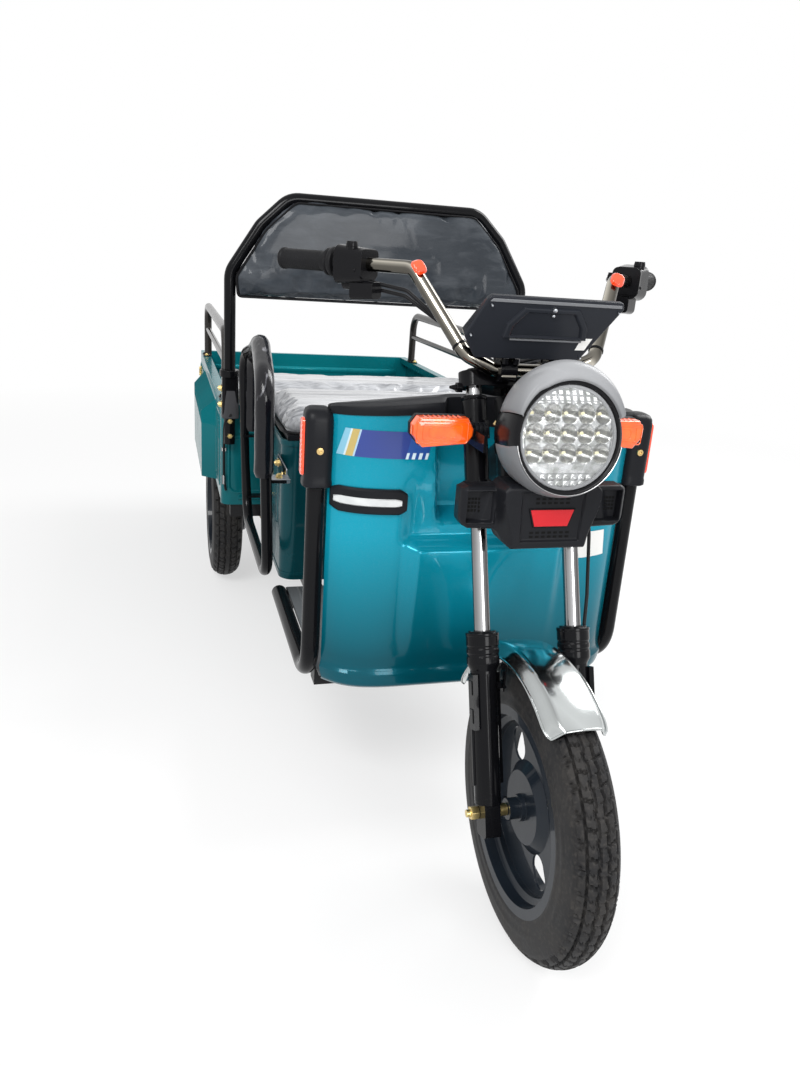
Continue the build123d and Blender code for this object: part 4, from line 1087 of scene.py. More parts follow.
def ovalRadius(wide, tall, rise, angle):
    # reach from the lamp's axis to a raised oval
    c, s = math.cos(math.radians(angle)), math.sin(math.radians(angle))
    p, q, r = (c / wide) ** 2 + (s / tall) ** 2, -2 * s * rise / tall ** 2, (rise / tall) ** 2 - 1
    return (-q + math.sqrt(q * q - 4 * p * r)) / (2 * p)


def blendProfile(stops, count):
    # a smooth run through a few sections
    out = []
    for k in range(count):
        t = k / (count - 1) * (len(stops) - 1)
        i = min(len(stops) - 2, int(t))
        u = t - i
        p0, p1, p2, p3 = stops[max(0, i - 1)], stops[i], stops[i + 1], stops[min(len(stops) - 1, i + 2)]
        out.append(tuple(0.5 * (2 * b + (c - a) * u + (2 * a - 5 * b + 4 * c - d) * u * u
                                + (3 * b - a - 3 * c + d) * u ** 3)
                         for a, b, c, d in zip(p0, p1, p2, p3)))
    return out


def trimBand(name, fromAngle, span, sections, steps, stepLine=None):
    # a moulded skin over the housing through an angle; sections are (wide, tall, rise, fore)
    rows = []
    for i in range(steps + 1):
        a = fromAngle + span * i / steps
        drop = 0.0016 if i in (0, steps) else 0.0
        row = []
        for j, (wide, tall, rise, fore) in enumerate(sections):
            sunk = 0.0
            if stepLine:
                line, strength = stepLine(a)
                fall = 1.0 - smoothStep(j / (len(sections) - 1), line - 0.03, line + 0.02)
                sunk = lamp["step"] * strength * fall
            row.append(polar(ovalRadius(wide, tall, rise, a) - drop - sunk, a, fore))
        rows.append(row)
    bm = bmesh.new()
    addGrid(bm, rows)
    fixFaces(bm)
    adopt(thickened(toObject(bm, name, 40.0), lamp["skin"]), "silverPlastic", "steering")


visorSections = blendProfile([(0.0824, 0.0832, 0.0010, 0.0056), (0.0834, 0.0848, 0.0020, 0.0100),
                              (0.0848, 0.0872, 0.0045, 0.0110), (0.0866, 0.0912, 0.0085, 0.0085),
                              (0.0883, 0.0950, 0.0125, -0.0010), (0.0895, 0.0966, 0.0140, -0.0190),
                              (0.0884, 0.0943, 0.0140, -0.0400), (0.0856, 0.0895, 0.0140, -0.0590),
                              (0.0782, 0.0800, 0.0140, -0.0790), (0.0690, 0.0690, 0.0140, -0.0960)], 56)
trimBand("headlight_visor", lamp["visorFrom"], lamp["visorSpan"], visorSections, 96,
         lambda a: (0.16 + 0.40 * smoothStep(a, 88.0, 124.0), 1.0 - smoothStep(a, 118.0, 130.0)))
# inner lip of the visor, black, facing the lens
bm = bmesh.new()
rows = []
for i in range(69):
    a = lamp["visorFrom"] + lamp["visorSpan"] * i / 68
    rows.append([polar(ovalRadius(wide, tall, rise, a), a, f) for wide, tall, rise, f in
                 ((0.0824, 0.0834, 0.0010, 0.0058), (0.0815, 0.0822, 0.0006, 0.0036),
                  (0.0806, 0.0806, 0.0, 0.0030))])
addGrid(bm, rows)
finished(bm, "visor_lip", "glossBlack", "steering", 40.0)
lowerSections = [(r, r, 0.0, f) for r, f in blendProfile([(0.0820, 0.0042), (0.0838, 0.0036),
                                                          (0.0866, -0.0050), (0.0890, -0.0190),
                                                          (0.0897, -0.0370), (0.0886, -0.0540),
                                                          (0.0862, -0.0700)], 22)]
trimBand("headlight_lower_trim", lamp["lowerFrom"], lamp["lowerSpan"], lowerSections, 78)
bm = bmesh.new()
rows = []
for i in range(83):
    a = lamp["lowerFrom"] + lamp["lowerSpan"] * i / 82
    rows.append([polar(0.0824 + out, a, 0.0044 + fore) for out, fore in circle(0.0011, 6)])
addGrid(bm, rows, closeV=True)
finished(bm, "headlight_edge", "chromePlate", "steering", 70.0)


def bowlHeight(x, y):
    # depth of the reflector under the glass: three rows of five bowls, flutes above and facets below
    r = math.hypot(x, y)
    row = round((y - lamp["bowlRise"]) / lamp["bowlPitchY"])
    if -1 <= row <= 1:
        cx = round(x / lamp["bowlPitchX"]) * lamp["bowlPitchX"]
        cy = lamp["bowlRise"] + row * lamp["bowlPitchY"]
        if abs(cx) < 0.055:
            dx = (x - cx) / (lamp["bowlPitchX"] / 2)
            dy = (y - cy) / (lamp["bowlPitchY"] / 2)
            rr = math.hypot(dx, dy)
            if rr < 1.02:
                return -0.0030 - 0.0145 * (1.0 - rr ** 2) + 0.0010 * (abs(dy - 0.15) < 0.10 and abs(dx) < 0.7)
            return -0.0030
    if y > 0.0495:
        flute = abs(((x * 95.0 + y * 20.0) % 1.0) - 0.5)
        ripple = abs(((y * 120.0) % 1.0) - 0.5)
        return -0.0040 + 0.0022 * flute - 0.0016 * ripple
    if y < -0.052:
        return -0.0050 + 0.0030 * (0.5 + 0.5 * math.sin(x * 520.0)) * (0.5 + 0.5 * math.sin(y * 640.0 + 1.0))
    return -0.0036 - 0.0008 * smoothStep(r, 0.060, 0.075)


# a square grid drawn in to a disc towards its edges
bm = bmesh.new()
cells = 104
size = 0.0755
rows = []
for i in range(cells + 1):
    row = []
    for j in range(cells + 1):
        x, y = size * (2 * i / cells - 1), size * (2 * j / cells - 1)
        k = max(abs(x), abs(y)) / (math.hypot(x, y) or 1.0)
        s = 1.0 - smoothStep(max(abs(x), abs(y)) / size, 0.70, 1.0) * (1.0 - k)
        row.append(lampAt @ Vector((x * s, y * s, bowlHeight(x * s, y * s))))
    rows.append(row)
addGrid(bm, rows)
bowls = Finish("bowlChrome", (0.62, 0.63, 0.63), 0.16, 0.85)
across = ((bowls.axis(0) * (1.0 / lamp["bowlPitchX"]) + 0.5).math("FRACT") - 0.5)
level = (bowls.axis(2) - (lamp["up"] + 0.0045)) * (1.0 / (lamp["bowlPitchY"] * math.cos(lampTilt)))
climb = ((level + 0.5).math("FRACT") - 0.5)
away = (across * across + climb * climb).math("SQRT")
# painted reflections: dark and bright rings painted into each bowl's colour for what its chrome mirrors
paintedBowlReflections = bowls.ramp(climb + across * across * 0.25 + 0.5, (0.0, (0.55, 0.56, 0.55)),
                    (0.13, (0.20, 0.20, 0.18)), (0.27, (0.12, 0.12, 0.10)),
                    (0.40, (0.75, 0.76, 0.75)), (0.47, (0.16, 0.16, 0.14)), (0.66, (0.09, 0.09, 0.075)),
                    (0.78, (0.95, 0.96, 0.97)), (1.0, (0.60, 0.61, 0.62)))
plain = bowls.ramp(bowls.noise(60.0, 3.0), (0.35, (0.20, 0.21, 0.20)), (0.65, (0.44, 0.45, 0.46)))
inside = (away < 0.49) * (level < 1.5) * (level > -1.5)
bowls.put("Base Color", bowls.mix(inside, plain, paintedBowlReflections))
bowls.put("Roughness", bowls.span(bowls.noise(40.0, 3.0), 0.14, 0.34))
finished(bm, "headlight_reflector", "bowlChrome", "steering", 38.0)
# small lit chips at the middle of each bowl
bm = bmesh.new()
for row in (-1, 0, 1):
    for col in range(-2, 3):
        at = lampAt @ Matrix.Translation((col * lamp["bowlPitchX"],
                                          lamp["bowlRise"] + row * lamp["bowlPitchY"], -0.0172))
        addPrism(bm, rounded(0.0060, 0.0040, 0.0008, 2), at, 0.0012)
finished(bm, "headlight_chips", "chipYellow", "steering", 30.0)
# cover glass
bm = bmesh.new()
rows = []
for i in range(64):
    rows.append([polar(r, 360.0 * i / 64, f)
                 for r, f in ((0.0760, -0.0020), (0.0755, -0.0006), (0.0735, 0.0008), (0.064, 0.0026),
                              (0.048, 0.0040), (0.030, 0.0050), (0.012, 0.0056))])
made = addGrid(bm, rows, closeU=True)
addCap(bm, [row[-1] for row in made])
finished(bm, "headlight_glass", "coverGlass", "steering", 60.0, replaced=("headlight_lens",))
# grey rim inside the glass
bm = bmesh.new()
rows = [[polar(r, 5.0 * i, f) for r, f in ((0.0757, -0.0022), (0.0752, -0.0010), (0.0715, -0.0016),
                                           (0.0705, -0.0040))] for i in range(72)]
addGrid(bm, rows, closeU=True)
finished(bm, "headlight_rim", "silverPlastic", "steering", 40.0)
print("headlight made")

# handlebar, grips, switch housings, cables and bar reflectors
bar = {"tip": (0.352, 0.483, 1.047), "bend": (0.176, 0.291, 1.048), "foot": (0.110, 0.201, 0.928)}
barDir = (Vector(bar["tip"]) - Vector(bar["bend"])).normalized()


def onBar(side, back):
    # x is up, y is level and square to the bar, z runs inwards from the tip
    tip = Vector((side * bar["tip"][0], st(bar["tip"][1]), bar["tip"][2]))
    inward = Vector((-side * barDir.x, -barDir.y, -barDir.z))
    up = Vector((0, 0, 1))
    up = (up - inward * up.dot(inward)).normalized()
    return basis(tip + inward * back, up, inward.cross(up), inward)


softened("handlebar", 0.0008, "barChrome", 2, 40.0)
bm = bmesh.new()
for side in (1, -1):
    at = onBar(side, -0.004)
    profile = [(0.0, 0.0), (0.011, 0.0), (0.0160, 0.0015), (0.0180, 0.004), (0.0180, 0.007), (0.0166, 0.0095)]
    h = 0.0095
    while h < 0.086:
        profile += [(0.01655, h), (0.01655, h + 0.0026), (0.01615, h + 0.0030), (0.01615, h + 0.0038)]
        h += 0.0042
    profile += [(0.0165, 0.090), (0.0167, 0.098), (0.0205, 0.1005), (0.0225, 0.1015), (0.0225, 0.1045),
                (0.0208, 0.1060), (0.0208, 0.1085), (0.0235, 0.1100), (0.0245, 0.1120), (0.0245, 0.1160),
                (0.0232, 0.1180), (0.0170, 0.1195), (0.0165, 0.124), (0.0113, 0.124), (0.0113, 0.004)]
    addLathe(bm, profile, at, 48, closed=False)
finished(bm, "grip_sleeves", "gripRubber", "steering", 28.0, replaced=("grips",))

softened("control_housings", 0.0022, "glossBlack", 3, 30.0)
bm = bmesh.new()
for side in (1, -1):
    at = onBar(side, 0.152)
    # parting line band, switch pods and screws on the housings
    addPrism(bm, rounded(0.0478, 0.0518, 0.010, 5), at @ Matrix.Translation((0, 0, -0.0010)), 0.0020)
    addPrism(bm, rounded(0.062, 0.058, 0.016, 5), at @ Matrix.Translation((-0.0025, 0, -0.026)), 0.050, 0.005)
    addPrism(bm, rounded(0.034, 0.036, 0.009, 4), at @ Matrix.Translation((-0.0400, 0, 0.000)), 0.042, 0.004)
    pod = at @ Matrix.Translation((0.0, side * 0.030, -0.004))
    addBlock(bm, (-0.0125, -0.004, -0.0150), (0.0125, 0.006, 0.0150), pod)
    addPrism(bm, circle(0.0065, 20), pod @ basis(Vector((0.004, 0.006 * side, 0.0)), Vector((1, 0, 0)),
                                                 Vector((0, 0, -side)), Vector((0, side, 0))), 0.0035, 0.0008)
    for k in (-1, 1):
        screw = at @ basis(Vector((-0.010 * k, -side * 0.0250, 0.013 * k)), Vector((1, 0, 0)),
                           Vector((0, 0, side)), Vector((0, -side, 0)))
        addLathe(bm, [(0.0, 0.0022), (0.0018, 0.0022), (0.0030, 0.0012), (0.0034, -0.001), (0.0, -0.001)],
                 screw, 16, closed=False)
    # collar round the mirror thread
    boss = at @ basis(Vector((0.0335, -side * 0.015, 0.0)), Vector((0, 1, 0)), Vector((0, 0, 1)),
                      Vector((1, 0, 0)))
    addLathe(bm, [(0.0051, -0.002), (0.0051, 0.0004), (0.0075, 0.0006), (0.0090, -0.0004), (0.0098, -0.004),
                  (0.0098, -0.008), (0.0090, -0.008)], boss, 32, closed=False)
finished(bm, "switch_details", "glossBlack", "steering", 32.0, 0.0006)
softened("brake_lever", 0.0006, "blackEnamel", 2, 40.0)

# round-cornered red reflectors on the bar's bends
bm = bmesh.new()
for side in (1, -1):
    spot = Vector((side * 0.1730, st(0.2800), 1.0440))
    forward = Vector((side * -0.10, -0.80, 0.58)).normalized()
    across = Vector((side * -0.42, -0.46, -0.78)).normalized()
    across = (across - forward * across.dot(forward)).normalized()
    at = basis(spot + forward * 0.0095, across, forward.cross(across), forward)
    addPrism(bm, rounded(0.026, 0.024, 0.009, 6), at, 0.0045, 0.0032)
finished(bm, "bar_reflectors", "redOrangeLens", "steering", 34.0, 0.0008)
# rubber bushes where the bar sits in its risers and clip bands that hold the cables
bm = bmesh.new()
for side in (1, -1):
    addRod(bm, (side * 0.026, st(0.201), 0.905), (side * 0.054, st(0.201), 0.905), 0.0175, 32)
    for x in (0.031, 0.049):
        for y in (0.183, 0.219):
            addRod(bm, (side * x, st(y), 0.917), (side * x, st(y), 0.926), 0.0052, 6)
    bend, foot = (Vector((side * x, st(y), z)) for x, y, z in (bar["bend"], bar["foot"]))
    a, d = bend.lerp(foot, 0.90), (foot - bend).normalized()
    addRod(bm, a - d * 0.002, a + d * 0.002, 0.0122, 28)
finished(bm, "bar_clamps", "blackEnamel", "steering", 32.0, 0.0004)
print("bar made")

# instrument box: eased body, raised emblem field, pale strips on the upper bevel and under the field that are
# painted highlights, screws and a bare label
inst = {"behind": 0.152, "up": 0.977, "upward": (0, -0.423, 0.906)}
instUp = Vector(inst["upward"]).normalized()
instAt = basis(Vector((0, st(inst["behind"]), inst["up"])), Vector((1, 0, 0)), instUp,
               Vector((1, 0, 0)).cross(instUp))
face = [(0.070, -0.0570), (0.1165, 0.0360), (0.1120, 0.0460), (-0.1000, 0.0470), (-0.1060, 0.0420),
        (-0.1285, -0.0190), (-0.1035, -0.0570)]
bm = bmesh.new()
made = addGrid(bm, [[instAt @ Vector((x, y, 0.0)),
                     instAt @ Vector((x * 0.985, y * 0.985, -0.009 - 0.018 * (0.052 - y) / 0.098))]
                    for x, y in face], closeU=True)
addCap(bm, [row[0] for row in made])
addCap(bm, [row[1] for row in made], True)
finished(bm, "instrument_case", "instrumentBlack", "steering", 30.0, 0.0030, 4, 20.0,
         replaced=("instrument_box",))
bm = bmesh.new()
outer = [(-0.070, -0.0185), (-0.068, 0.004), (-0.046, 0.033), (0.044, 0.033), (0.066, 0.004),
         (0.070, -0.0185)]
inner = [(-0.056, -0.0145), (-0.054, 0.002), (-0.038, 0.0235), (0.036, 0.0235), (0.052, 0.002),
         (0.056, -0.0145)]
rows = []
for t, lift in ((0.0, -0.001), (0.14, 0.0032), (0.30, 0.0040), (0.70, 0.0040), (0.86, 0.0030), (1.0, 0.0005)):
    rows.append([instAt @ Vector((a[0] + (b[0] - a[0]) * t, a[1] + (b[1] - a[1]) * t, lift))
                 for a, b in zip(outer, inner)])
made = addGrid(bm, rows, closeV=True)
addCap(bm, made[-1])
finished(bm, "instrument_panel_rib", "instrumentBlack", "steering", 30.0, 0.0012, 3,
         20.0)
bm = bmesh.new()
# painted highlights: pale strips along the upper bevel and under the raised field
addPrism(bm, [(-0.098, 0.0435), (0.110, 0.0425), (0.112, 0.0375), (-0.102, 0.0385)],
         instAt @ Matrix.Translation((0, 0, -0.001)), 0.0022, 0.0008)
addBlock(bm, (-0.056, -0.0225, -0.001), (0.062, -0.0195, 0.0028), instAt)
finished(bm, "instrument_highlight_strips", "instrumentHighlight", "steering", 30.0, 0.0007)
bm = bmesh.new()
for x, y, r in ((0.002, 0.0305, 0.0035), (0.002, 0.0215, 0.0024), (-0.098, 0.0335, 0.0016),
                (-0.119, -0.016, 0.0016), (0.107, 0.031, 0.0013), (0.069, -0.049, 0.0013)):
    addLathe(bm, [(0.0, 0.0058), (r * 0.6, 0.0056), (r, 0.0046), (r, -0.002), (0.0, -0.002)],
             instAt @ Matrix.Translation((x, y, 0.0)), 16, closed=False)
finished(bm, "instrument_screws", "steelPlate", "steering", 40.0)
bm = bmesh.new()
addPrism(bm, [(0.0620, -0.0160), (0.0800, -0.0155), (0.0730, -0.0360), (0.0570, -0.0365)],
         instAt @ Matrix.Translation((0, 0, 0.0001)), 0.0004)
finished(bm, "instrument_label", "blankLabel", "steering", 30.0)
print("instrument made")

# under panel below the lamp: wings with grilles and a nose with slots round a bare badge
panel = {"face": 0.084, "nose": 0.057, "back": 0.114, "top": 0.757, "half": 0.136, "sunk": 0.0040}
panelLow = [(0.0, 0.657), (0.060, 0.657), (0.068, 0.664), (0.0745, 0.676), (0.080, 0.681), (0.122, 0.683),
            (0.131, 0.688), (0.136, 0.696)]


def panelTop(x):
    return panel["top"] - 0.008 * smoothStep(abs(x), 0.070, 0.082) - 0.004 * smoothStep(abs(x), 0.125, 0.136)


def easedEdge(gap, radius):
    # how far a rounded edge falls back this close to the rim
    return radius * (1.0 - math.sqrt(max(0.0, 1 - (1 - min(1.0, max(0.0, gap) / radius)) ** 2)))


def window(a, z, a0, a1, z0, z1, soft):
    # 1 inside a rectangle and 0 outside, over a soft edge
    return min(smoothStep(a, a0, a0 + soft), smoothStep(-a, -a1, soft - a1), smoothStep(z, z0, z0 + soft),
               smoothStep(-z, -z1, soft - z1))


def panelFore(x, z):
    # station of the skin, behind the front axle
    a = abs(x)
    low, top = along(panelLow, x), panelTop(x)
    nose = 1.0 - smoothStep(a, 0.058 + 0.020 * smoothStep(z, 0.66, 0.74),
                            0.078 + 0.006 * smoothStep(z, 0.66, 0.74))
    y = panel["face"] + (panel["nose"] - panel["face"]) * nose
    # rounded outer edges
    y += easedEdge(min(z - low, top - z), 0.007) + easedEdge(panel["half"] - a, 0.010)
    # wing recess with its ramp towards the nose, rimmed by a raised line
    u = (a - 0.0855) / 0.0395
    v = (z - 0.6935) / 0.0530
    inside = window(a, z, 0.0840, 0.1275, 0.6930, 0.7425, 0.003)
    deep = 0.0045 + 0.0075 * smoothStep(u + 0.35 * (v - 0.5), 0.20, 0.62)
    y += deep * inside
    y -= 0.0012 * window(a, z, 0.0812, 0.1302, 0.6902, 0.7453, 0.001) * (1.0 - inside)
    # nose: sunk field inside a rounded frame, wider towards its top
    if a < 0.06:
        y += panel["sunk"] * window(a, z, -1.0, 0.0485 + 0.05 * (z - 0.66), 0.6690, 0.7480, 0.003)
    return y


bm = bmesh.new()
rows = []
columns = spread([-0.136, -0.126, -0.122, -0.090, -0.080, -0.052, -0.042, 0.042, 0.052, 0.080, 0.090, 0.122,
                  0.126, 0.136], 0.0016)
for x in columns:
    low, top = along(panelLow, x), panelTop(x)
    heights = [low + (top - low) * (k / 64) for k in range(65)]
    back = [Vector((x, st(panel["back"]), z)) for z in (low, top)]
    rows.append([back[0], *(Vector((x, st(panelFore(x, z)), z)) for z in heights), back[1]])
made = addGrid(bm, rows)
addCap(bm, made[0])
addCap(bm, made[-1], True)
finished(bm, "under_panel_shell", "blackPlastic", "steering", 35.0,
         replaced=("front_panel",))
# a grille of square holes on each wing and rows of slots on the nose, drawn as near-black blocks on the skin:
# painted shade for the dark inside the holes
bm = bmesh.new()
holes = [(side * (0.1040 + 0.0053 * i), 0.7090 + 0.0060 * j, 0.0019, 0.0019)
         for side in (1, -1) for i in range(4) for j in range(4)]
holes += [((i - (n - 1) / 2) * 0.0098, z, 0.0030, 0.0017)
          for z, n in ((0.7360, 6), (0.7295, 6), (0.6830, 7), (0.6765, 7)) for i in range(n)]
for x, z, wide, tall in holes:
    y = st(panelFore(x, z))
    addBlock(bm, (x - wide, y - 0.0004, z - tall), (x + wide, y + 0.002, z + tall))
finished(bm, "panel_slots", "holeShade", "steering", 30.0)
badgeAt = foreFrame(0, panel["nose"] + panel["sunk"], 0.7065)
bm = bmesh.new()
addPrism(bm, [(-0.0385, 0.0150), (0.0385, 0.0150), (0.0290, -0.0150), (-0.0290, -0.0150)], badgeAt, 0.0022,
         0.0006)
finished(bm, "blank_badge_frame", "glossBlack", "steering", 30.0, 0.0005)
bm = bmesh.new()
addPrism(bm, [(-0.0355, 0.0130), (0.0355, 0.0130), (0.0272, -0.0130), (-0.0272, -0.0130)],
         badgeAt @ Matrix.Translation((0, 0, 0.0016)), 0.0014, 0.0004)
finished(bm, "blank_badge", "badgeRed", "steering", 30.0, 0.0004)
print("under panel made")

# turn signals: hexagonal lenses with inner ribs, on ribbed stalks
signal = {"fore": 0.158, "back": 0.190}
bm = bmesh.new()
housing = bmesh.new()
for side in (1, -1):
    outline = [(0.0990, 0.8090), (0.0985, 0.8190), (0.1080, 0.8360), (0.1870, 0.8365), (0.1955, 0.8240),
               (0.1950, 0.8080), (0.1800, 0.7900), (0.1080, 0.7960)]
    cx = sum(p[0] for p in outline) / len(outline)
    cz = sum(p[1] for p in outline) / len(outline)
    rows = []
    for k, y in ((1.0, signal["back"] - 0.004), (1.0, signal["fore"] + 0.006),
                 (0.985, signal["fore"] + 0.0025), (0.94, signal["fore"] + 0.0005), (0.88, signal["fore"])):
        rows.append([Vector((side * (cx + (px - cx) * k), st(y),
                             cz + (pz - cz) * (k if k > 0.9 else k * 0.99))) for px, pz in outline])
    made = addGrid(bm, rows, closeV=True)
    addCap(bm, made[-1])
    # pressed race-track ribs on the face
    for grow in (0.030, 0.020, 0.010):
        at = foreFrame(side * 0.150, signal["fore"], 0.8142)
        track = rounded(2 * grow + 0.024, 0.9 * grow + 0.008, 0.0045, 4)
        addGrid(bm, [[at @ Vector((x * wide, y * tall, lift)) for x, y in track]
                     for wide, tall, lift in ((1.0, 1.0, 0.0), (0.985, 0.95, 0.0011), (0.965, 0.89, 0.0))],
                closeV=True)
    for k in range(8):
        x = side * (0.1200 + 0.0080 * k)
        addBlock(bm, (x - 0.0009, st(signal["fore"] + 0.004), 0.8358),
                 (x + 0.0009, st(signal["back"] - 0.006), 0.8374))
    shell = [(0.0985, 0.8085), (0.0980, 0.8195), (0.1075, 0.8373), (0.1875, 0.8378), (0.1967, 0.8245),
             (0.1962, 0.8075), (0.1803, 0.7888), (0.1077, 0.7948)]
    rows = [[Vector((side * px, st(y), pz)) for px, pz in shell]
            for y in (signal["back"] - 0.010, signal["back"])]
    made = addGrid(housing, rows, closeV=True)
    addCap(housing, made[0])
    addCap(housing, made[-1])
    for k in range(4):
        x = 0.0755 + 0.0072 * k
        start = Vector((side * x, st(0.1745), 0.8140))
        addRod(housing, start, start + Vector((side * 0.0046, 0, 0)), 0.0135, 28)
    addRod(housing, (side * 0.072, st(0.1745), 0.8140), (side * 0.105, st(0.1745), 0.8140), 0.0105, 24)
finished(bm, "signal_lenses", "amberLens", "steering", 30.0, 0.0008,
         replaced=("turn_signals",))
finished(housing, "signal_housings", "blackPlastic", "steering", 32.0, 0.0006)
bm = bmesh.new()
for side in (1, -1):
    addRod(bm, (side * 0.070, st(0.140), 0.832), (side * 0.070, st(0.128), 0.832), 0.0070, 6)
    addRod(bm, (side * 0.070, st(0.129), 0.832), (side * 0.070, st(0.123), 0.832), 0.0042, 14)
finished(bm, "lamp_bolts", "brass", "steering", 32.0, 0.0005)
print("signals made")

# cushions: cloth blown up from the CAD forms, wrapped in clear film, then piping
cushion = {"voxel": 0.0060, "quickVoxel": 0.010, "pressure": 4.0, "travel": 0.024, "inset": 0.010,
           "frames": 20}


def padForm(name, outline, at, depth, taper):
    # a plain pad over an outline in a frame, cut into even cells
    bm = bmesh.new()
    addPrism(bm, outline, at, depth, taper)
    fixFaces(bm)
    obj = toObject(bm, name, 180.0)
    m = obj.modifiers.new("remesh", "REMESH")
    m.mode = "VOXEL"
    m.voxel_size = cushion["voxel"]
    m.use_smooth_shade = True
    return settle(obj)


def inflate(obj, pressure, travel, held):
    # blows the pad up, keeping every point within a short travel; held says which points stay
    start = [v.co.copy() for v in obj.data.vertices]
    group = obj.vertex_groups.new(name="held")
    for v in obj.data.vertices:
        group.add([v.index], float(held(v.co)), "REPLACE")
    m = obj.modifiers.new("cloth", "CLOTH")
    s = m.settings
    s.quality = 6
    s.mass = 0.3
    s.use_pressure = True
    s.uniform_pressure_force = pressure
    s.tension_stiffness = 18.0
    s.compression_stiffness = 18.0
    s.shear_stiffness = 6.0
    s.bending_stiffness = 1.2
    s.shrink_min = -0.05
    s.vertex_group_mass = "held"
    s.effector_weights.gravity = 0.0
    m.point_cache.frame_start = 1
    m.point_cache.frame_end = cushion["frames"]
    scene = bpy.context.scene
    for frameNumber in range(1, cushion["frames"] + 1):
        scene.frame_set(frameNumber)
    settle(obj)
    scene.frame_set(1)
    for v, was in zip(obj.data.vertices, start):
        moved = v.co - was
        if moved.length > travel:
            v.co = was + moved * (travel / moved.length)


def wrinkle(obj, amount, where, scale, seed):
    # taut film folds that run across the pad, as strong as where() says at each point
    obj.data.calc_loop_triangles()
    normals = [v.normal.copy() for v in obj.data.vertices]
    for v, n in zip(obj.data.vertices, normals):
        p = v.co
        q = Vector((p.x * scale[0] + seed, p.y * scale[1], p.z * scale[2]))
        fold = noise.noise(q) + 0.5 * noise.noise(q * 2.3)
        sharp = 1.0 - abs(fold) * 2.0
        v.co = p + n * amount * (sharp * where(p))


def upholstered(obj, finishName, bodyName, node):
    # the last smoothing of a pad, its cover and what it says of itself
    m = obj.modifiers.new("smooth", "SUBSURF")
    m.levels = 1
    m.render_levels = 1
    settle(obj)
    for p in obj.data.polygons:
        p.use_smooth = True
    adopt(obj, finishName, bodyName, (node,))


def filmFinish(name, light, dark, streak, rough, coat, relief, shadeTop=0.0):
    # vinyl seen through creased film; the creases are also painted into the colour: pale streaks are painted
    # reflections and dark streaks painted shade
    f = Finish(name, light, rough, 0.0, Coat_Weight=coat, Coat_Roughness=0.08, Specular_IOR_Level=0.4 * coat)
    folds = f.noise(9.0, 6.0, 0.62, streak, 0.6)
    fine = f.noise(38.0, 4.0, 0.6, streak, 0.4)
    half = tuple(0.5 * (a + b) for a, b in zip(light, dark))
    tone = f.ramp(folds, (0.30, dark), (0.44, half), (0.52, light), (0.60, tuple(c * 1.35 for c in light)),
                  (0.72, light))
    tone = f.mix(f.span(fine, 0.0, 0.5, 0.48, 0.66), tone, rgba(*[c * 1.5 + 0.03 for c in light]))
    if shadeTop:
        # painted shade: the film is darker round the sides than on top, which faces the light
        low = (f.span(f.axis(2), 1.0, 0.0, shadeTop - 0.030, shadeTop) + (folds - 0.5) * 1.6).clamp() * 0.75
        tone = f.mix(low, tone, scaled(dark, 0.55))
    f.put("Base Color", tone)
    f.put("Roughness", f.span(fine, rough - 0.10, rough + 0.18, 0.3, 0.7))
    f.bump(folds + fine * 0.35, relief, 0.0030)


filmFinish("seatFilm", (0.42, 0.43, 0.45), (0.15, 0.155, 0.17), (0.35, 7.0, 2.6), 0.28, 0.8, 0.55, 0.706)
filmFinish("backFilm", (0.040, 0.046, 0.054), (0.026, 0.031, 0.038), (0.22, 0.4, 0.65), 0.30, 0.20, 0.45)


def cornered(x0, x1, y0, y1, radius, steps=6):
    # a rounded rectangle between limits
    return [(px + (x0 + x1) / 2, py + (y0 + y1) / 2)
            for px, py in rounded(abs(x1 - x0), abs(y1 - y0), radius, steps)]


def makeCushion(name, node, x, y0, y1, low, high, radius, bodyName, seed):
    inset = cushion["inset"]
    draw = inset * 0.6
    obj = padForm(name, cornered(-x + draw, x - draw, y0 + draw, y1 - draw, radius),
                  Matrix.Translation((0, 0, low)), high - inset - low, 0.008)
    middle = (low + high) / 2
    inflate(obj, cushion["pressure"], cushion["travel"], lambda co: co.z < low + 0.012)
    for v in obj.data.vertices:
        v.co.z = max(v.co.z, low + 0.0003)
    # the blown form is brought back to the cushion's own height
    top = max(v.co.z for v in obj.data.vertices)
    for v in obj.data.vertices:
        if v.co.z > middle:
            v.co.z = middle + (v.co.z - middle) * (high + 0.004 - middle) / (top - middle)
    wrinkle(obj, 0.0016, lambda p: smoothStep(p.z, middle - 0.01, high - 0.004), (2.2, 26.0, 9.0), seed)
    upholstered(obj, "seatFilm", bodyName, node)


makeCushion("driver_cushion_cover", "driver_cushion", 0.300, st(0.803), st(1.178), 0.6662, 0.716, 0.045,
            "seat", 0.0)
makeCushion("rear_cushion_cover", "rear_cushion", 0.372, st(1.211), st(1.480), 0.6610, 0.710, 0.034,
            "chassis", 7.3)


# a cord round the driver's cushion
bm = bmesh.new()
outline = [Vector((x, y, 0.671)) for x, y in cornered(-0.3015, 0.3015, st(0.8015), st(1.1795), 0.045, 8)]
rows = []
for i, p in enumerate(outline):
    out = (outline[(i + 1) % len(outline)] - outline[i - 1]).normalized().cross(Vector((0, 0, 1)))
    rows.append([p + out * x + Vector((0, 0, y)) for x, y in circle(0.0030, 8)])
addGrid(bm, rows, closeU=True, closeV=True)
finished(bm, "driver_cushion_piping", "piping", "seat", 60.0)

# backrest: a flat padded board inside the hoop, film-wrapped, with black piping round its edge
back = {"front": 1.158, "rear": 1.200}
backHalf = [(-0.371, 0.938), (-0.3755, 0.985), (-0.3035, 1.0985), (-0.2320, 1.1655)]
backOutline = backHalf + [(-x, z) for x, z in reversed(backHalf)]


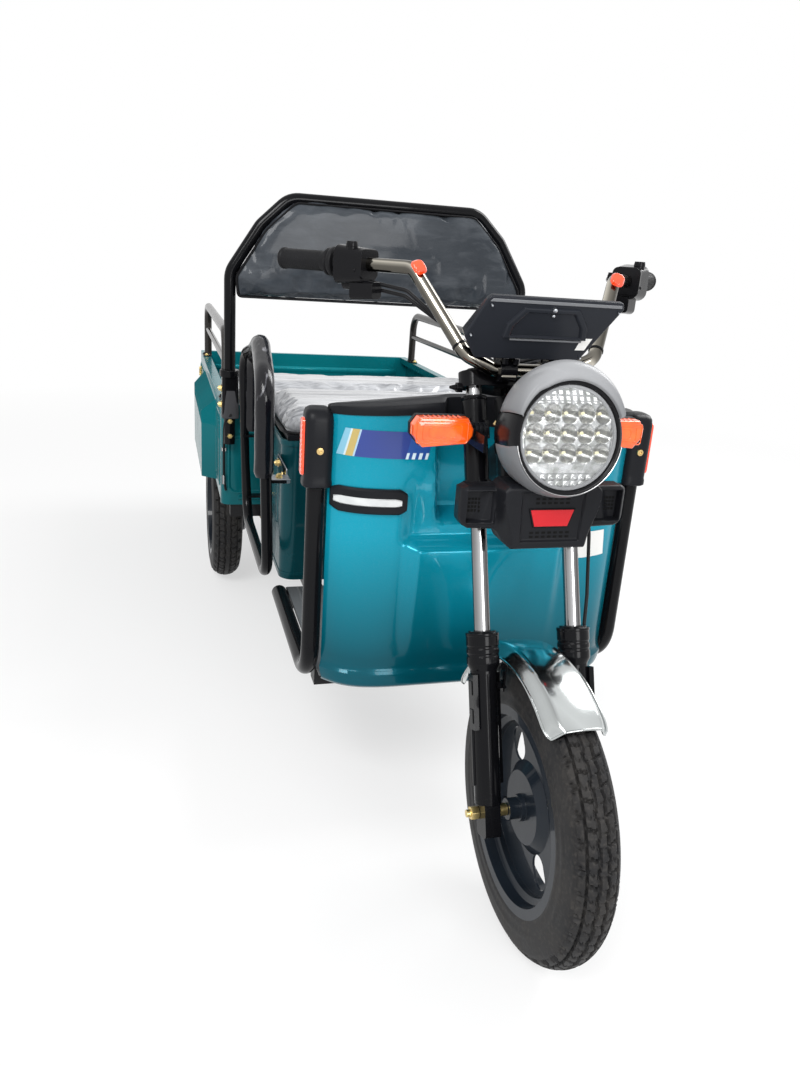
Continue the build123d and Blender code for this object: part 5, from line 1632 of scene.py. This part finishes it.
def eased(points, cut):
    # cuts each corner of a closed outline into a short arc
    out = []
    n = len(points)
    for i in range(n):
        a, b, c = Vector(points[i - 1]), Vector(points[i]), Vector(points[(i + 1) % n])
        d0 = (a - b).normalized() * min(cut, (a - b).length * 0.45)
        d1 = (c - b).normalized() * min(cut, (c - b).length * 0.45)
        for k in range(7):
            t = k / 6
            p = (b + d0) * (1 - t) ** 2 + b * 2 * t * (1 - t) + (b + d1) * t ** 2
            out.append((p.x, p.y))
    return out


backAt = foreFrame(0, back["front"], 0)
rearY = st(back["rear"])
obj = padForm("backrest_cover", eased(backOutline, 0.008), backAt @ Matrix.Translation((0, 0, -0.041)),
              0.037, 0.004)
inflate(obj, 2.6, 0.016, lambda co: co.y > rearY - 0.006)
# the blown form is brought back to the pad's own depth
front = min(v.co.y for v in obj.data.vertices)
limit = st(back["front"]) - 0.004
for v in obj.data.vertices:
    v.co.y = rearY + (v.co.y - rearY) * (limit - rearY) / (front - rearY)
wrinkle(obj, 0.0006, lambda p: 1.0, (4.0, 5.0, 9.0), 3.1)
upholstered(obj, "backFilm", "chassis", "backrest_pad")
# black edging round the film
bm = bmesh.new()
addRim(bm, eased(backOutline, 0.010)[::-1], backAt,
       [(-0.0012, -0.0050), (0.0010, -0.0042), (0.0030, -0.0075), (0.0032, -0.0150), (-0.0040, -0.0130)])
finished(bm, "backrest_edging", "piping", "chassis", 50.0)
# backing board behind the pad, with its screws
bm = bmesh.new()
boardAt = backAt @ Matrix.Translation((0, 0, -(back["rear"] - back["front"]) - 0.0035))
addPrism(bm, eased([(x * 0.985, 1.048 + (z - 1.048) * 0.975) for x, z in backOutline], 0.02), boardAt,
         0.0035, 0.0)
for x in (-0.30, -0.10, 0.10, 0.30):
    addRod(bm, boardAt @ Vector((x, 1.000, 0.0)), boardAt @ Vector((x, 1.000, -0.0030)), 0.0065, 6)
finished(bm, "backrest_board", "blackPlastic", "chassis", 30.0, 0.0006)
print("seats made")

# foam sleeves over the guards, wrapped in creased shiny film
sleeve = {"x": 0.350, "radius": 0.0200, "bend": 0.070, "splay": 0.011, "middle": 0.882, "half": 0.228}
guardPath = [(0.654, 0.612), (0.654, 0.806), (0.822, 0.864), (1.110, 0.806), (1.110, 0.612)]


def roundedPath(points, bend, step):
    # a polyline with its corners turned into arcs, sampled evenly
    path = []
    pts = [Vector(p) for p in points]
    for i, p in enumerate(pts):
        if i in (0, len(pts) - 1):
            path.append([p])
            continue
        a, c = (pts[i - 1] - p), (pts[i + 1] - p)
        half = a.angle(c) / 2
        cut = bend / math.tan(half)
        start, end = p + a.normalized() * cut, p + c.normalized() * cut
        middle = p + (a.normalized() + c.normalized()).normalized() * (bend / math.sin(half))
        arc = []
        u, w = (start - middle), (end - middle)
        sweep = u.angle(w)
        n = max(2, int(sweep * bend / step))
        for k in range(n + 1):
            t = k / n
            arc.append(middle + (u * math.sin((1 - t) * sweep) + w * math.sin(t * sweep)) / math.sin(sweep))
        path.append(arc)
    out = [path[0][0]]
    for group in path[1:]:
        start = out[-1]
        span = (group[0] - start).length
        n = max(1, int(span / step))
        out.extend(start.lerp(group[0], k / n) for k in range(1, n + 1))
        out.extend(group[1:])
    return out


def sleeveRadius(t, angle, p, side):
    # slight folds all over, drawn in at both ends
    q = Vector((p.y * 9.0, p.z * 9.0, side * 3.0 + 1.3 * math.cos(angle)))
    fold = noise.noise(q * 2.2) * 0.5 + noise.noise(q * 5.1) * 0.3
    return sleeve["radius"] + 0.0014 * fold - 0.004 * (1.0 - smoothStep(min(t, 1 - t), 0.0, 0.012))


def splayAt(y, z):
    # the front leg of each guard stands further out than the rear one
    return sleeve["splay"] * (st(sleeve["middle"]) - y) / sleeve["half"] * smoothStep(z, 0.40, 0.62)


loops = softened("guard_loops", 0.0, "blackEnamel", 1, 60.0)
for v in loops.data.vertices:
    if abs(v.co.x) > 0.30:
        v.co.x += math.copysign(splayAt(v.co.y, v.co.z), v.co.x)
filmed = Finish("sleeveFilm", (0.004, 0.004, 0.006), 0.12, 0.0, Coat_Weight=0.35, Coat_Roughness=0.03,
                Specular_IOR_Level=0.15)
creases = filmed.noise(26.0, 5.0, 0.6, (1.0, 0.5, 0.35), 0.8)
# painted highlights: the crease ridges are painted pale grey as if they caught the light
filmed.put("Base Color", filmed.mix(filmed.span(creases, 0.0, 1.0, 0.60, 0.70), rgba(0.004, 0.004, 0.006),
                                    rgba(0.22, 0.22, 0.24)))
filmed.put("Roughness", filmed.span(creases, 0.08, 0.32))
filmed.bump(creases, 0.7, 0.0040)
bm = bmesh.new()
for side in (1, -1):
    path = roundedPath([(side * (sleeve["x"] + splayAt(st(y), z)), st(y), z) for y, z in guardPath],
                       sleeve["bend"], 0.006)
    last = len(path) - 1
    rows = []
    for i, p in enumerate(path):
        t = (path[min(last, i + 1)] - path[max(0, i - 1)]).normalized()
        up = t.cross(Vector((1, 0, 0))).normalized()
        out = up.cross(t).normalized()
        turns = [2 * math.pi * k / 28 for k in range(28)]
        rows.append([p + (out * math.cos(a) + up * math.sin(a)) * sleeveRadius(i / last, a, p, side)
                     for a in turns])
    made = addGrid(bm, rows, closeV=True)
    addCap(bm, made[0])
    addCap(bm, made[-1])
obj = finished(bm, "guard_sleeves", "sleeveFilm", "chassis", 60.0, replaced=("guard_pads",))
print("guard sleeves made")

# cargo box and seat box, hoop, guards and rails
cargo = {
    "front": 1.205, "rear": 2.330, "half": 0.410, "floor": 0.395, "rim": 0.660, "flareWide": 0.040,
    "flareDrop": 0.040, "bead": (0.014, 0.0035), "panelLow": 0.428, "panelTop": 0.618, "ribStep": 0.048,
}


def beadSection(width, height):
    # a low pressed bead, its feet just under the sheet
    return [(-width / 2, -0.0006), (-width * 0.30, height * 0.7), (0.0, height),
            (width * 0.30, height * 0.7), (width / 2, -0.0006)]


def hexBolt(bm, place, direction, across=0.013, thick=0.006, washer=0.0015):
    at = aim(place, Vector(place) + Vector(direction))
    addPrism(bm, circle(across * 0.78, 20), at, washer)
    addPrism(bm, circle(across * 0.577, 6), at @ Matrix.Translation((0, 0, washer)), thick, across * 0.04)
    addPrism(bm, circle(across * 0.30, 12), at @ Matrix.Translation((0, 0, washer + thick)), thick * 0.35,
             across * 0.05)


softened("seat_box", 0.0014, "tealShade")
softened("cargo_floor", 0.0010, "tealBox")
softened("cargo_front", 0.0016, "tealBox")
sides = softened("cargo_sides", 0.0012, "tealBox")
for v in sides.data.vertices:
    # the wheel flares slope down from the wall
    if abs(v.co.x) > 0.415 and v.co.z > 0.620:
        v.co.z -= cargo["flareDrop"] * (abs(v.co.x) - cargo["half"]) / cargo["flareWide"]
softened("tailgate", 0.0012, "tealInner")
softened("rear_seat_base", 0.0012, "tealBox")

bm = bmesh.new()
plan = rounded(0.604, 0.392, 0.035, 6)
addRim(bm, plan, Matrix.Translation((0, st(0.996), 0.6395)),
       [(-0.001, 0.0), (0.0022, 0.0008), (0.0034, 0.004), (0.0034, 0.010), (0.002, 0.0145), (-0.001, 0.0153)])
addRim(bm, plan, Matrix.Translation((0, st(0.996), 0.330)),
       [(-0.001, 0.0), (0.0016, 0.001), (0.0016, 0.009), (-0.001, 0.010)])
for side in (1, -1):
    addRim(bm, rounded(0.250, 0.150, 0.022), outFrame(side, 0.302, 0.992, 0.515),
           beadSection(0.012, 0.0022), False)
addRim(bm, rounded(0.440, 0.190, 0.026), foreFrame(0, 0.800, 0.480), beadSection(0.014, 0.0028), False)
finished(bm, "seat_box_pressings", "tealShade", "chassis", 50.0)

# pressed beads on the outside of the box, and stiffening ribs along its floor
bm = bmesh.new()
low, top = cargo["panelLow"], cargo["panelTop"]
for side in (1, -1):
    for y0, y1 in ((1.252, 1.402), (2.016, 2.306)):
        addRim(bm, rounded(y1 - y0, top - low, 0.020),
               outFrame(side, cargo["half"], (y0 + y1) / 2, (low + top) / 2), beadSection(*cargo["bead"]),
               False)
for x0, x1 in ((0.150, 0.390), (-0.390, -0.150)):
    addRim(bm, rounded(x1 - x0, 0.150, 0.020), foreFrame((x0 + x1) / 2, cargo["front"], 0.4965),
           beadSection(0.012, 0.0024), False)
for k in range(13):
    x = (k - 6) * cargo["ribStep"]
    # the outer ribs start behind the wheel wells
    start, end = 1.500 if abs(x) < 0.285 else 2.0, 2.310
    rows = []
    for station in (start, start + 0.012, end - 0.012, end):
        tall = 0.0026 if start < station < end else -0.0004
        rows.append([Vector((x + a, st(station), cargo["floor"] + b * tall))
                     for a, b in ((-0.011, -0.1), (-0.006, 1.0), (0.006, 1.0), (0.011, -0.1))])
    addGrid(bm, rows, flip=True)
finished(bm, "box_pressings", "tealBox", "chassis", 40.0)

bm = bmesh.new()
gateFace = cargo["rear"] + 0.0035
for x0, x1 in ((0.150, 0.388), (-0.122, 0.122), (-0.388, -0.150)):
    addRim(bm, rounded(x1 - x0, 0.182, 0.020), backFrame((x0 + x1) / 2, gateFace, 0.521),
           beadSection(0.016, 0.0046), False)
for z in (0.470, 0.600):
    # long beads across the inner face
    rows = [[Vector((x, st(cargo["rear"] + 0.0014 - out), z + up))
             for up, out in ((-0.012, 0.0), (-0.007, 0.0042), (0.007, 0.0042), (0.012, 0.0))]
            for x in (-0.368, -0.360, 0.360, 0.368)]
    for row in (rows[0], rows[-1]):
        for p in row:
            p.y = st(cargo["rear"] + 0.0014)
    addGrid(bm, rows)
finished(bm, "gate_pressings", "tealInner", "gate", 50.0)

# gate latches: a sprung lever on each end of the gate and its keeper on the box side
levers, keepers = bmesh.new(), bmesh.new()
for side in (1, -1):
    addPrism(levers, rounded(0.034, 0.060, 0.006), backFrame(side * 0.372, gateFace, 0.588), 0.003)
    addPrism(levers, rounded(0.016, 0.074, 0.007), backFrame(side * 0.372, gateFace + 0.003, 0.592), 0.009,
             0.0015)
    addRod(levers, (side * 0.386, st(gateFace + 0.006), 0.588), (side * 0.404, st(gateFace + 0.006), 0.588),
           0.0045)
    addPrism(keepers, rounded(0.040, 0.046, 0.006), outFrame(side, cargo["half"], 2.303, 0.588), 0.003)
    for z in (0.576, 0.600):
        hexBolt(keepers, (side * (cargo["half"] + 0.003), st(2.292), z), (side, 0, 0), 0.010, 0.004, 0.001)
    addBlock(keepers, (-0.005, -0.012, 0.0), (0.010, 0.012, 0.008),
             outFrame(side, cargo["half"], 2.318, 0.588))
finished(levers, "gate_latch_levers", "zincYellow", "gate", 30.0, 0.0008)
finished(keepers, "gate_latch_keepers", "zincYellow", "chassis", 30.0, 0.0006)

# foot plates of the rails, the hoop's collars and the brackets of the guards, with their bolts
plates, bolts, steel, sleeves = bmesh.new(), bmesh.new(), bmesh.new(), bmesh.new()
for side in (1, -1):
    for y in (1.300, 2.200):
        at = Matrix.Translation((side * 0.394, st(y), cargo["rim"] - 0.0005))
        addPrism(plates, rounded(0.027, 0.070, 0.008), at, 0.0045, 0.001)
        addRim(plates, circle(0.0135, 24), at, [(0.0, 0.004), (0.0045, 0.004), (0.0, 0.010)], False)
        for dy in (-0.027, 0.027):
            hexBolt(bolts, (side * 0.397, st(y + dy), cargo["rim"] + 0.004), (0, 0, 1), 0.010, 0.004)
    addRim(plates, circle(0.0150, 28), Matrix.Translation((side * 0.390, st(1.187), 0.736)),
           [(-0.001, 0.0), (0.009, 0.0), (0.010, 0.002), (0.010, 0.016), (0.008, 0.018), (-0.001, 0.018)])
    hexBolt(bolts, (side * 0.4015, st(1.187), 0.745), (side, 0, 0), 0.008, 0.004, 0.001)
    addPrism(sleeves, rounded(0.0445, 0.0375, 0.011),
             Matrix.Translation((side * 0.3885, st(1.1865), 0.6285)), 0.099, 0.002)
    addBlock(steel, (side * 0.360 - 0.0075, st(1.150), 0.668), (side * 0.360 + 0.0075, st(1.168), 0.706))
    hexBolt(bolts, (side * 0.360, st(1.150), 0.688), (0, -1, 0), 0.011, 0.005)
    for z in (0.664, 0.706):
        hexBolt(bolts, (side * 0.4105, st(1.187), z), (side, 0, 0), 0.013, 0.006)
    for z in (0.583, 0.622):
        hexBolt(bolts, (side * 0.390, st(1.177), z), (0, -1, 0), 0.012, 0.006)
    for z in (0.440, 0.600):
        for dy, dz in ((-0.016, 0.010), (0.018, -0.010)):
            hexBolt(bolts, (side * 0.307, st(1.104 + dy * 1.05), z + dz), (side, 0, 0), 0.009, 0.004, 0.001)
    addPrism(steel, rounded(0.142, 0.034, 0.006), outFrame(side, 0.3061, 0.770, 0.600), 0.0022)
    addBlock(steel, (side * 0.327 - 0.022, st(0.660), 0.5955), (side * 0.327 + 0.022, st(0.700), 0.6045))
    for y in (0.716, 0.822):
        hexBolt(bolts, (side * 0.3083, st(y), 0.600), (side, 0, 0), 0.013, 0.006)
    hexBolt(bolts, (side * 0.326, st(0.680), 0.6045), (0, 0, 1), 0.010, 0.005)
finished(plates, "rail_and_hoop_fittings", "blackEnamel", "chassis", 30.0, 0.0006)
finished(steel, "guard_brackets", "steelPlate", "chassis", 30.0, 0.0008)
finished(sleeves, "hoop_sleeves", "greyPlastic", "chassis", 30.0, 0.0030)
finished(bolts, "frame_bolts", "zincYellow", "chassis", 30.0)

# a thin lead down the box's front corner to a plated clip
bm = bmesh.new()
for side, label in bothSides:
    x = side * 0.4035
    cable("corner_lead_" + label,
          [(side * 0.386, st(1.168), 0.640), (x, st(1.176), 0.628), (x, st(1.196), 0.590),
           (x, st(1.199), 0.500), (x, st(1.198), 0.452), (side * 0.398, st(1.200), 0.428)], 0.0034)
    addRod(bm, (x, st(1.1985), 0.470), (x, st(1.1985), 0.446), 0.0050, 20)
    addBlock(bm, (x - 0.006, st(1.196), 0.536), (x + 0.006, st(1.2045), 0.546))
finished(bm, "corner_lead_clips", "chromePlate", "chassis", 30.0, 0.0008)

# tail lamps: three ribbed windows in a black housing under each rear corner
tail = {"splits": (0.306, 0.334, 0.360, 0.384), "face": 2.3255, "middle": 0.345, "up": 0.370, "wide": 0.086,
        "tall": 0.044}
housing, windows = bmesh.new(), {"redLens": bmesh.new(), "amberLens": bmesh.new(), "milkyLens": bmesh.new()}
for side in (1, -1):
    middle, wide, tall = tail["middle"], tail["wide"], tail["tall"]
    at = backFrame(side * middle, tail["face"], tail["up"])
    addRim(housing, rounded(wide, tall, 0.008), at,
           [(-0.0045, -0.008), (0.0, -0.008), (0.0, 0.002), (-0.0012, 0.0034), (-0.0045, 0.0034)])
    addPrism(housing, rounded(wide - 0.004, tall - 0.004, 0.007), at @ Matrix.Translation((0, 0, -0.010)),
             0.003)
    for k, what in enumerate(("milkyLens", "amberLens", "redLens")):
        a, b = tail["splits"][k] - middle, tail["splits"][k + 1] - middle
        lo, hi = (a, b) if side < 0 else (-b, -a)
        rows = []
        steps = 40
        for i in range(steps + 1):
            u = lo + 0.0008 + (hi - lo - 0.0016) * i / steps
            swell = 0.0010 * abs(math.sin(math.pi * i * 6 / steps)) + 0.0016
            rows.append([at @ Vector((u, v, w)) for v, w in ((-0.0185, -0.004), (-0.0180, swell * 0.6),
                                                             (-0.0165, swell), (0.0165, swell),
                                                             (0.0180, swell * 0.6), (0.0185, -0.004))])
        addGrid(windows[what], rows)
finished(housing, "tail_lamp_housings", "blackPlastic", "chassis", 30.0, 0.0005)
for what, label in (("redLens", "red"), ("amberLens", "amber"), ("milkyLens", "clear")):
    finished(windows[what], "tail_lenses_" + label, what, "chassis", 50.0,
             replaced=("tail_lamps",) if what == "redLens" else ())
print("cargo box dressed")

# underside, batteries and pedal
under = {
    "axle": wheel["rearBehind"], "hubZ": wheel["rear"], "spring": 0.215, "floorTop": 0.306,
    "ridgeStep": 0.0185, "fin": 0.0085, "battery": 0.9925, "batteryStep": 0.092,
}

# ridged mat on the floor board, with the steering stem's opening left free
bm = bmesh.new()
count = int(0.272 / under["ridgeStep"])
for k in range(-count, count + 1):
    x = k * under["ridgeStep"]
    y0, y1 = 0.366 if abs(x) > 0.036 else 0.444, 0.792
    addGrid(bm, [[Vector((x + a, st(y), under["floorTop"] - 0.0004 + tall * h))
                  for a, h in ((-0.0052, 0.0), (-0.0034, 0.0028), (0.0034, 0.0028), (0.0052, 0.0))]
                 for y, tall in ((y0, 0.0), (y0 + 0.004, 1.0), (y1 - 0.004, 1.0), (y1, 0.0))], flip=True)
finished(bm, "floor_ridges", "floorEnamel", "chassis", 40.0)

# spring packs: bolts over the axle, rebound clips and eye bushes
straps, nuts = bmesh.new(), bmesh.new()
for side in (1, -1):
    cx = side * under["spring"]
    for dy in (-0.034, 0.034):
        y = st(under["axle"] + dy)
        for dx in (-0.0285, 0.0285):
            addRod(straps, (cx + dx, y, 0.196), (cx + dx, y, 0.291), 0.0045, 12)
            hexBolt(nuts, (cx + dx, y, 0.2035), (0, 0, -1), 0.014, 0.007)
        addRod(straps, (cx - 0.0285, y, 0.2905), (cx + 0.0285, y, 0.2905), 0.0045, 12)
    addBlock(straps, (cx - 0.036, st(under["axle"]) - 0.044, 0.2035),
             (cx + 0.036, st(under["axle"]) + 0.044, 0.2095))
    for dy in (-0.180, 0.180):
        y = st(under["axle"] + dy)
        low = 0.2765 + 0.0295 * (dy / 0.300) ** 2
        high = low + 0.026
        for x0, z0, x1, z1 in ((-0.026, low, -0.026, high), (-0.026, low, 0.026, low),
                               (0.026, low, 0.026, high),
                               (-0.026, high, 0.026, high)):
            addBlock(straps, (cx + x0 - 0.0018, y - 0.011, z0 - 0.0018),
                     (cx + x1 + 0.0018, y + 0.011, z1 + 0.0018))
    for dy in (-0.310, 0.310):
        for out in (-1, 1):
            hexBolt(nuts, (cx + out * 0.0315, st(under["axle"] + dy), 0.316), (out, 0, 0), 0.016, 0.008)
finished(straps, "spring_straps", "frameEnamel", "chassis", 30.0, 0.0008)
finished(nuts, "spring_nuts", "zincYellow", "chassis", 30.0)

# motor fins and rings of screws on the drive case, brake arms on the back plates
fins, screws, arms = bmesh.new(), bmesh.new(), bmesh.new()
hub = Vector((0, st(under["axle"]), under["hubZ"]))
turn = basis(hub, Vector((0, 1, 0)), Vector((0, 0, 1)), Vector((1, 0, 0)))
x = 0.072
while x < 0.148:
    addLathe(fins, [(0.070, x), (0.0785, x), (0.0792, x + 0.0012), (0.0785, x + 0.0026),
                    (0.070, x + 0.0026)], turn, 56)
    x += under["fin"]
addLathe(fins, [(0.030, -0.0705), (0.036, -0.0705), (0.036, -0.078), (0.030, -0.078)], turn, 40)
for k in range(8):
    a = math.radians(22.5 + 45 * k)
    spoke = Vector((0, math.cos(a), math.sin(a)))
    hexBolt(screws, hub + spoke * 0.050 + Vector((-0.070, 0, 0)), (-1, 0, 0), 0.010, 0.005)
    hexBolt(screws, hub + spoke * 0.052 + Vector((0.158, 0, 0)), (1, 0, 0), 0.009, 0.004)
    addBlock(fins, (-0.002, 0.058, -0.044), (0.002, 0.0865, 0.036), turn @ Matrix.Rotation(a, 4, "Z"))
for side in (1, -1):
    addPrism(arms, [(-0.010, 0.0), (0.010, 0.0), (0.006, 0.070), (-0.006, 0.070)],
             basis(hub + Vector((side * 0.296, -0.050, 0.020)), Vector((0, -side, 0)), Vector((0, 0, 1)),
                   Vector((side, 0, 0))), 0.004)
    addRod(arms, hub + Vector((side * 0.290, -0.050, 0.028)), hub + Vector((side * 0.302, -0.050, 0.028)),
           0.009)
    addRod(arms, hub + Vector((side * 0.293, -0.050, 0.086)), hub + Vector((side * 0.303, -0.050, 0.086)),
           0.006)
finished(fins, "drive_case_fins", "castMetal", "chassis", 30.0)
finished(screws, "drive_case_screws", "zincYellow", "chassis", 30.0)
finished(arms, "rear_brake_arms", "steelPlate", "chassis", 30.0)
for side, label in bothSides:
    start = hub + Vector((side * 0.298, -0.050, 0.086))
    cable("rear_brake_cable_" + label,
          [start, start + Vector((0, -0.05, 0.002)), start + Vector((-side * 0.02, -0.20, 0.02)),
           (side * 0.250, st(1.30), 0.350), (side * 0.235, st(1.12), 0.300), (side * 0.12, st(0.86), 0.290),
           (-0.128, st(0.62), 0.296)], 0.003)
cable("motor_lead", [hub + Vector((0.110, -0.062, 0.036)), hub + Vector((0.110, -0.12, 0.060)),
                     (0.120, st(1.40), 0.345),
                     (0.120, st(1.22), 0.345), (0.110, st(1.10), 0.318)], 0.007)

# batteries: lids, caps, straps and leads
softened("battery_pack", 0.003, "batteryCase")
lids, posts = bmesh.new(), bmesh.new()
for k in range(5):
    x = -0.184 + under["batteryStep"] * k
    addPrism(lids, rounded(0.084, 0.172, 0.005), Matrix.Translation((x, st(under["battery"]), 0.4995)),
             0.004, 0.001)
    for dy in (-0.070, 0.070):
        y = st(under["battery"] + dy)
        addRod(posts, (x, y, 0.503), (x, y, 0.513), 0.0075, 16)
        hexBolt(posts, (x, y, 0.513), (0, 0, 1), 0.009, 0.004)
    if k:
        addRod(posts, (x - under["batteryStep"], y, 0.514), (x, y, 0.514), 0.003, 10)
for z in (0.372, 0.448):
    addRim(lids, rounded(0.461, 0.186, 0.004), Matrix.Translation((0, st(under["battery"]), z)),
           [(-0.001, 0.0), (0.0016, 0.001), (0.0016, 0.015), (-0.001, 0.016)])
finished(lids, "battery_lids", "blackPlastic", "chassis", 30.0, 0.0006)
finished(posts, "battery_posts", "brass", "chassis", 30.0)

# ribbed rubber on the brake pedal
bm = bmesh.new()
face = basis(Vector((-0.130, st(0.509), 0.306 + 0.098)), Vector((1, 0, 0)), Vector((0, -0.674, 0.738)),
             Vector((0, 0.738, 0.674)))
addPrism(bm, rounded(0.060, 0.060, 0.006), face, 0.003, 0.0006)
for k in range(6):
    addPrism(bm, rounded(0.052, 0.0045, 0.001, 1),
             face @ Matrix.Translation((0, -0.0225 + 0.009 * k, 0.0028)), 0.0022, 0.0006)
finished(bm, "pedal_rubber", "gripRubber", "chassis", 30.0, 0.0004)
print("underside dressed")

# floor, light and camera
stage = {"floorSize": 40.0, "skyLevel": 0.62, "keyPower": 150.0, "rimPower": 120.0, "frontPower": 60.0}

floorMesh = bpy.data.meshes.new("studio_floor")
half = stage["floorSize"] / 2
floorMesh.from_pydata([(-half, -half, 0), (half, -half, 0), (half, half, 0), (-half, half, 0)], [],
                      [(0, 1, 2, 3)])
floorObj = link("studio_floor", floorMesh)
floorMat = bpy.data.materials.new("studioFloor")
floorMat.use_nodes = True
tree = floorMat.node_tree
tree.nodes.remove(tree.nodes["Principled BSDF"])
diffuse = tree.nodes.new("ShaderNodeBsdfDiffuse")
diffuse.inputs["Color"].default_value = (0.86, 0.86, 0.86, 1.0)
glow = tree.nodes.new("ShaderNodeEmission")
glow.inputs["Color"].default_value = (1.0, 1.0, 1.0, 1.0)
rays = tree.nodes.new("ShaderNodeLightPath")
seen = Sock(tree, rays.outputs["Is Camera Ray"]) + Sock(tree, rays.outputs["Is Glossy Ray"])
seen = (seen + Sock(tree, rays.outputs["Is Transmission Ray"])).clamp()
spot = tree.nodes.new("ShaderNodeTexCoord")
reach = tree.nodes.new("ShaderNodeVectorMath")
reach.operation = "LENGTH"
tree.links.new(spot.outputs["Object"], reach.inputs[0])
# far from the object the floor melts into the pale background
far = (Sock(tree, reach.outputs["Value"]) - 1.2) * 0.30
seen = seen * (far.clamp() * 0.42 + 0.58)
blend = tree.nodes.new("ShaderNodeMixShader")
tree.links.new(seen.out, blend.inputs[0])
tree.links.new(diffuse.outputs[0], blend.inputs[1])
tree.links.new(glow.outputs[0], blend.inputs[2])
tree.links.new(blend.outputs[0], tree.nodes["Material Output"].inputs["Surface"])
floorMesh.materials.append(floorMat)
floorObj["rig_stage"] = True

world = bpy.data.worlds.new("studioSky")
bpy.context.scene.world = world
world.use_nodes = True
tree = world.node_tree
back = tree.nodes["Background"]
rays = tree.nodes.new("ShaderNodeLightPath")
seen = Sock(tree, rays.outputs["Is Camera Ray"]) + Sock(tree, rays.outputs["Is Glossy Ray"])
seen = (seen + Sock(tree, rays.outputs["Is Transmission Ray"])).clamp()
level = seen * (1.0 - stage["skyLevel"]) + stage["skyLevel"]
back.inputs["Color"].default_value = (1.0, 1.0, 1.0, 1.0)
tree.links.new(level.out, back.inputs["Strength"])


def softLight(name, place, target, size, power):
    lamp = bpy.data.lights.new(name, "AREA")
    lamp.shape = "RECTANGLE"
    lamp.size, lamp.size_y = size
    lamp.energy = power
    at = aim(target, place)
    at.translation = Vector(place)
    link(name, lamp).matrix_world = at


softLight("key", (-2.2, -3.2, 3.6), (0, -0.6, 0.5), (2.2, 1.6), stage["keyPower"])
softLight("rim", (2.8, 0.5, 3.2), (0, 0, 0.5), (1.6, 2.4), stage["rimPower"])
softLight("front", (0.6, -4.4, 1.6), (0, -1.0, 0.6), (1.4, 1.8), stage["frontPower"])

view = {"place": (-0.5615, -2.1131, 1.0715), "yaw": 16.3775, "down": 18.3268, "roll": 4.0022, "lens": 28.68}
yaw, down, roll = (math.radians(view[k]) for k in ("yaw", "down", "roll"))
ahead = Vector((math.sin(yaw) * math.cos(down), math.cos(yaw) * math.cos(down), -math.sin(down)))
level = Vector((math.cos(yaw), -math.sin(yaw), 0.0))
upright = level.cross(ahead)
camData = bpy.data.cameras.new("camera")
camData.lens = view["lens"]
camData.sensor_width = 36.0
camData.sensor_fit = "AUTO"
camData.clip_start = 0.05
camera = link("camera", camData)
camera.matrix_world = basis(Vector(view["place"]), math.cos(roll) * level + math.sin(roll) * upright,
                            math.cos(roll) * upright - math.sin(roll) * level, -ahead)
bpy.context.scene.camera = camera
bpy.context.scene.view_settings.view_transform = "Standard"
print("stage set")

low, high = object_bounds()
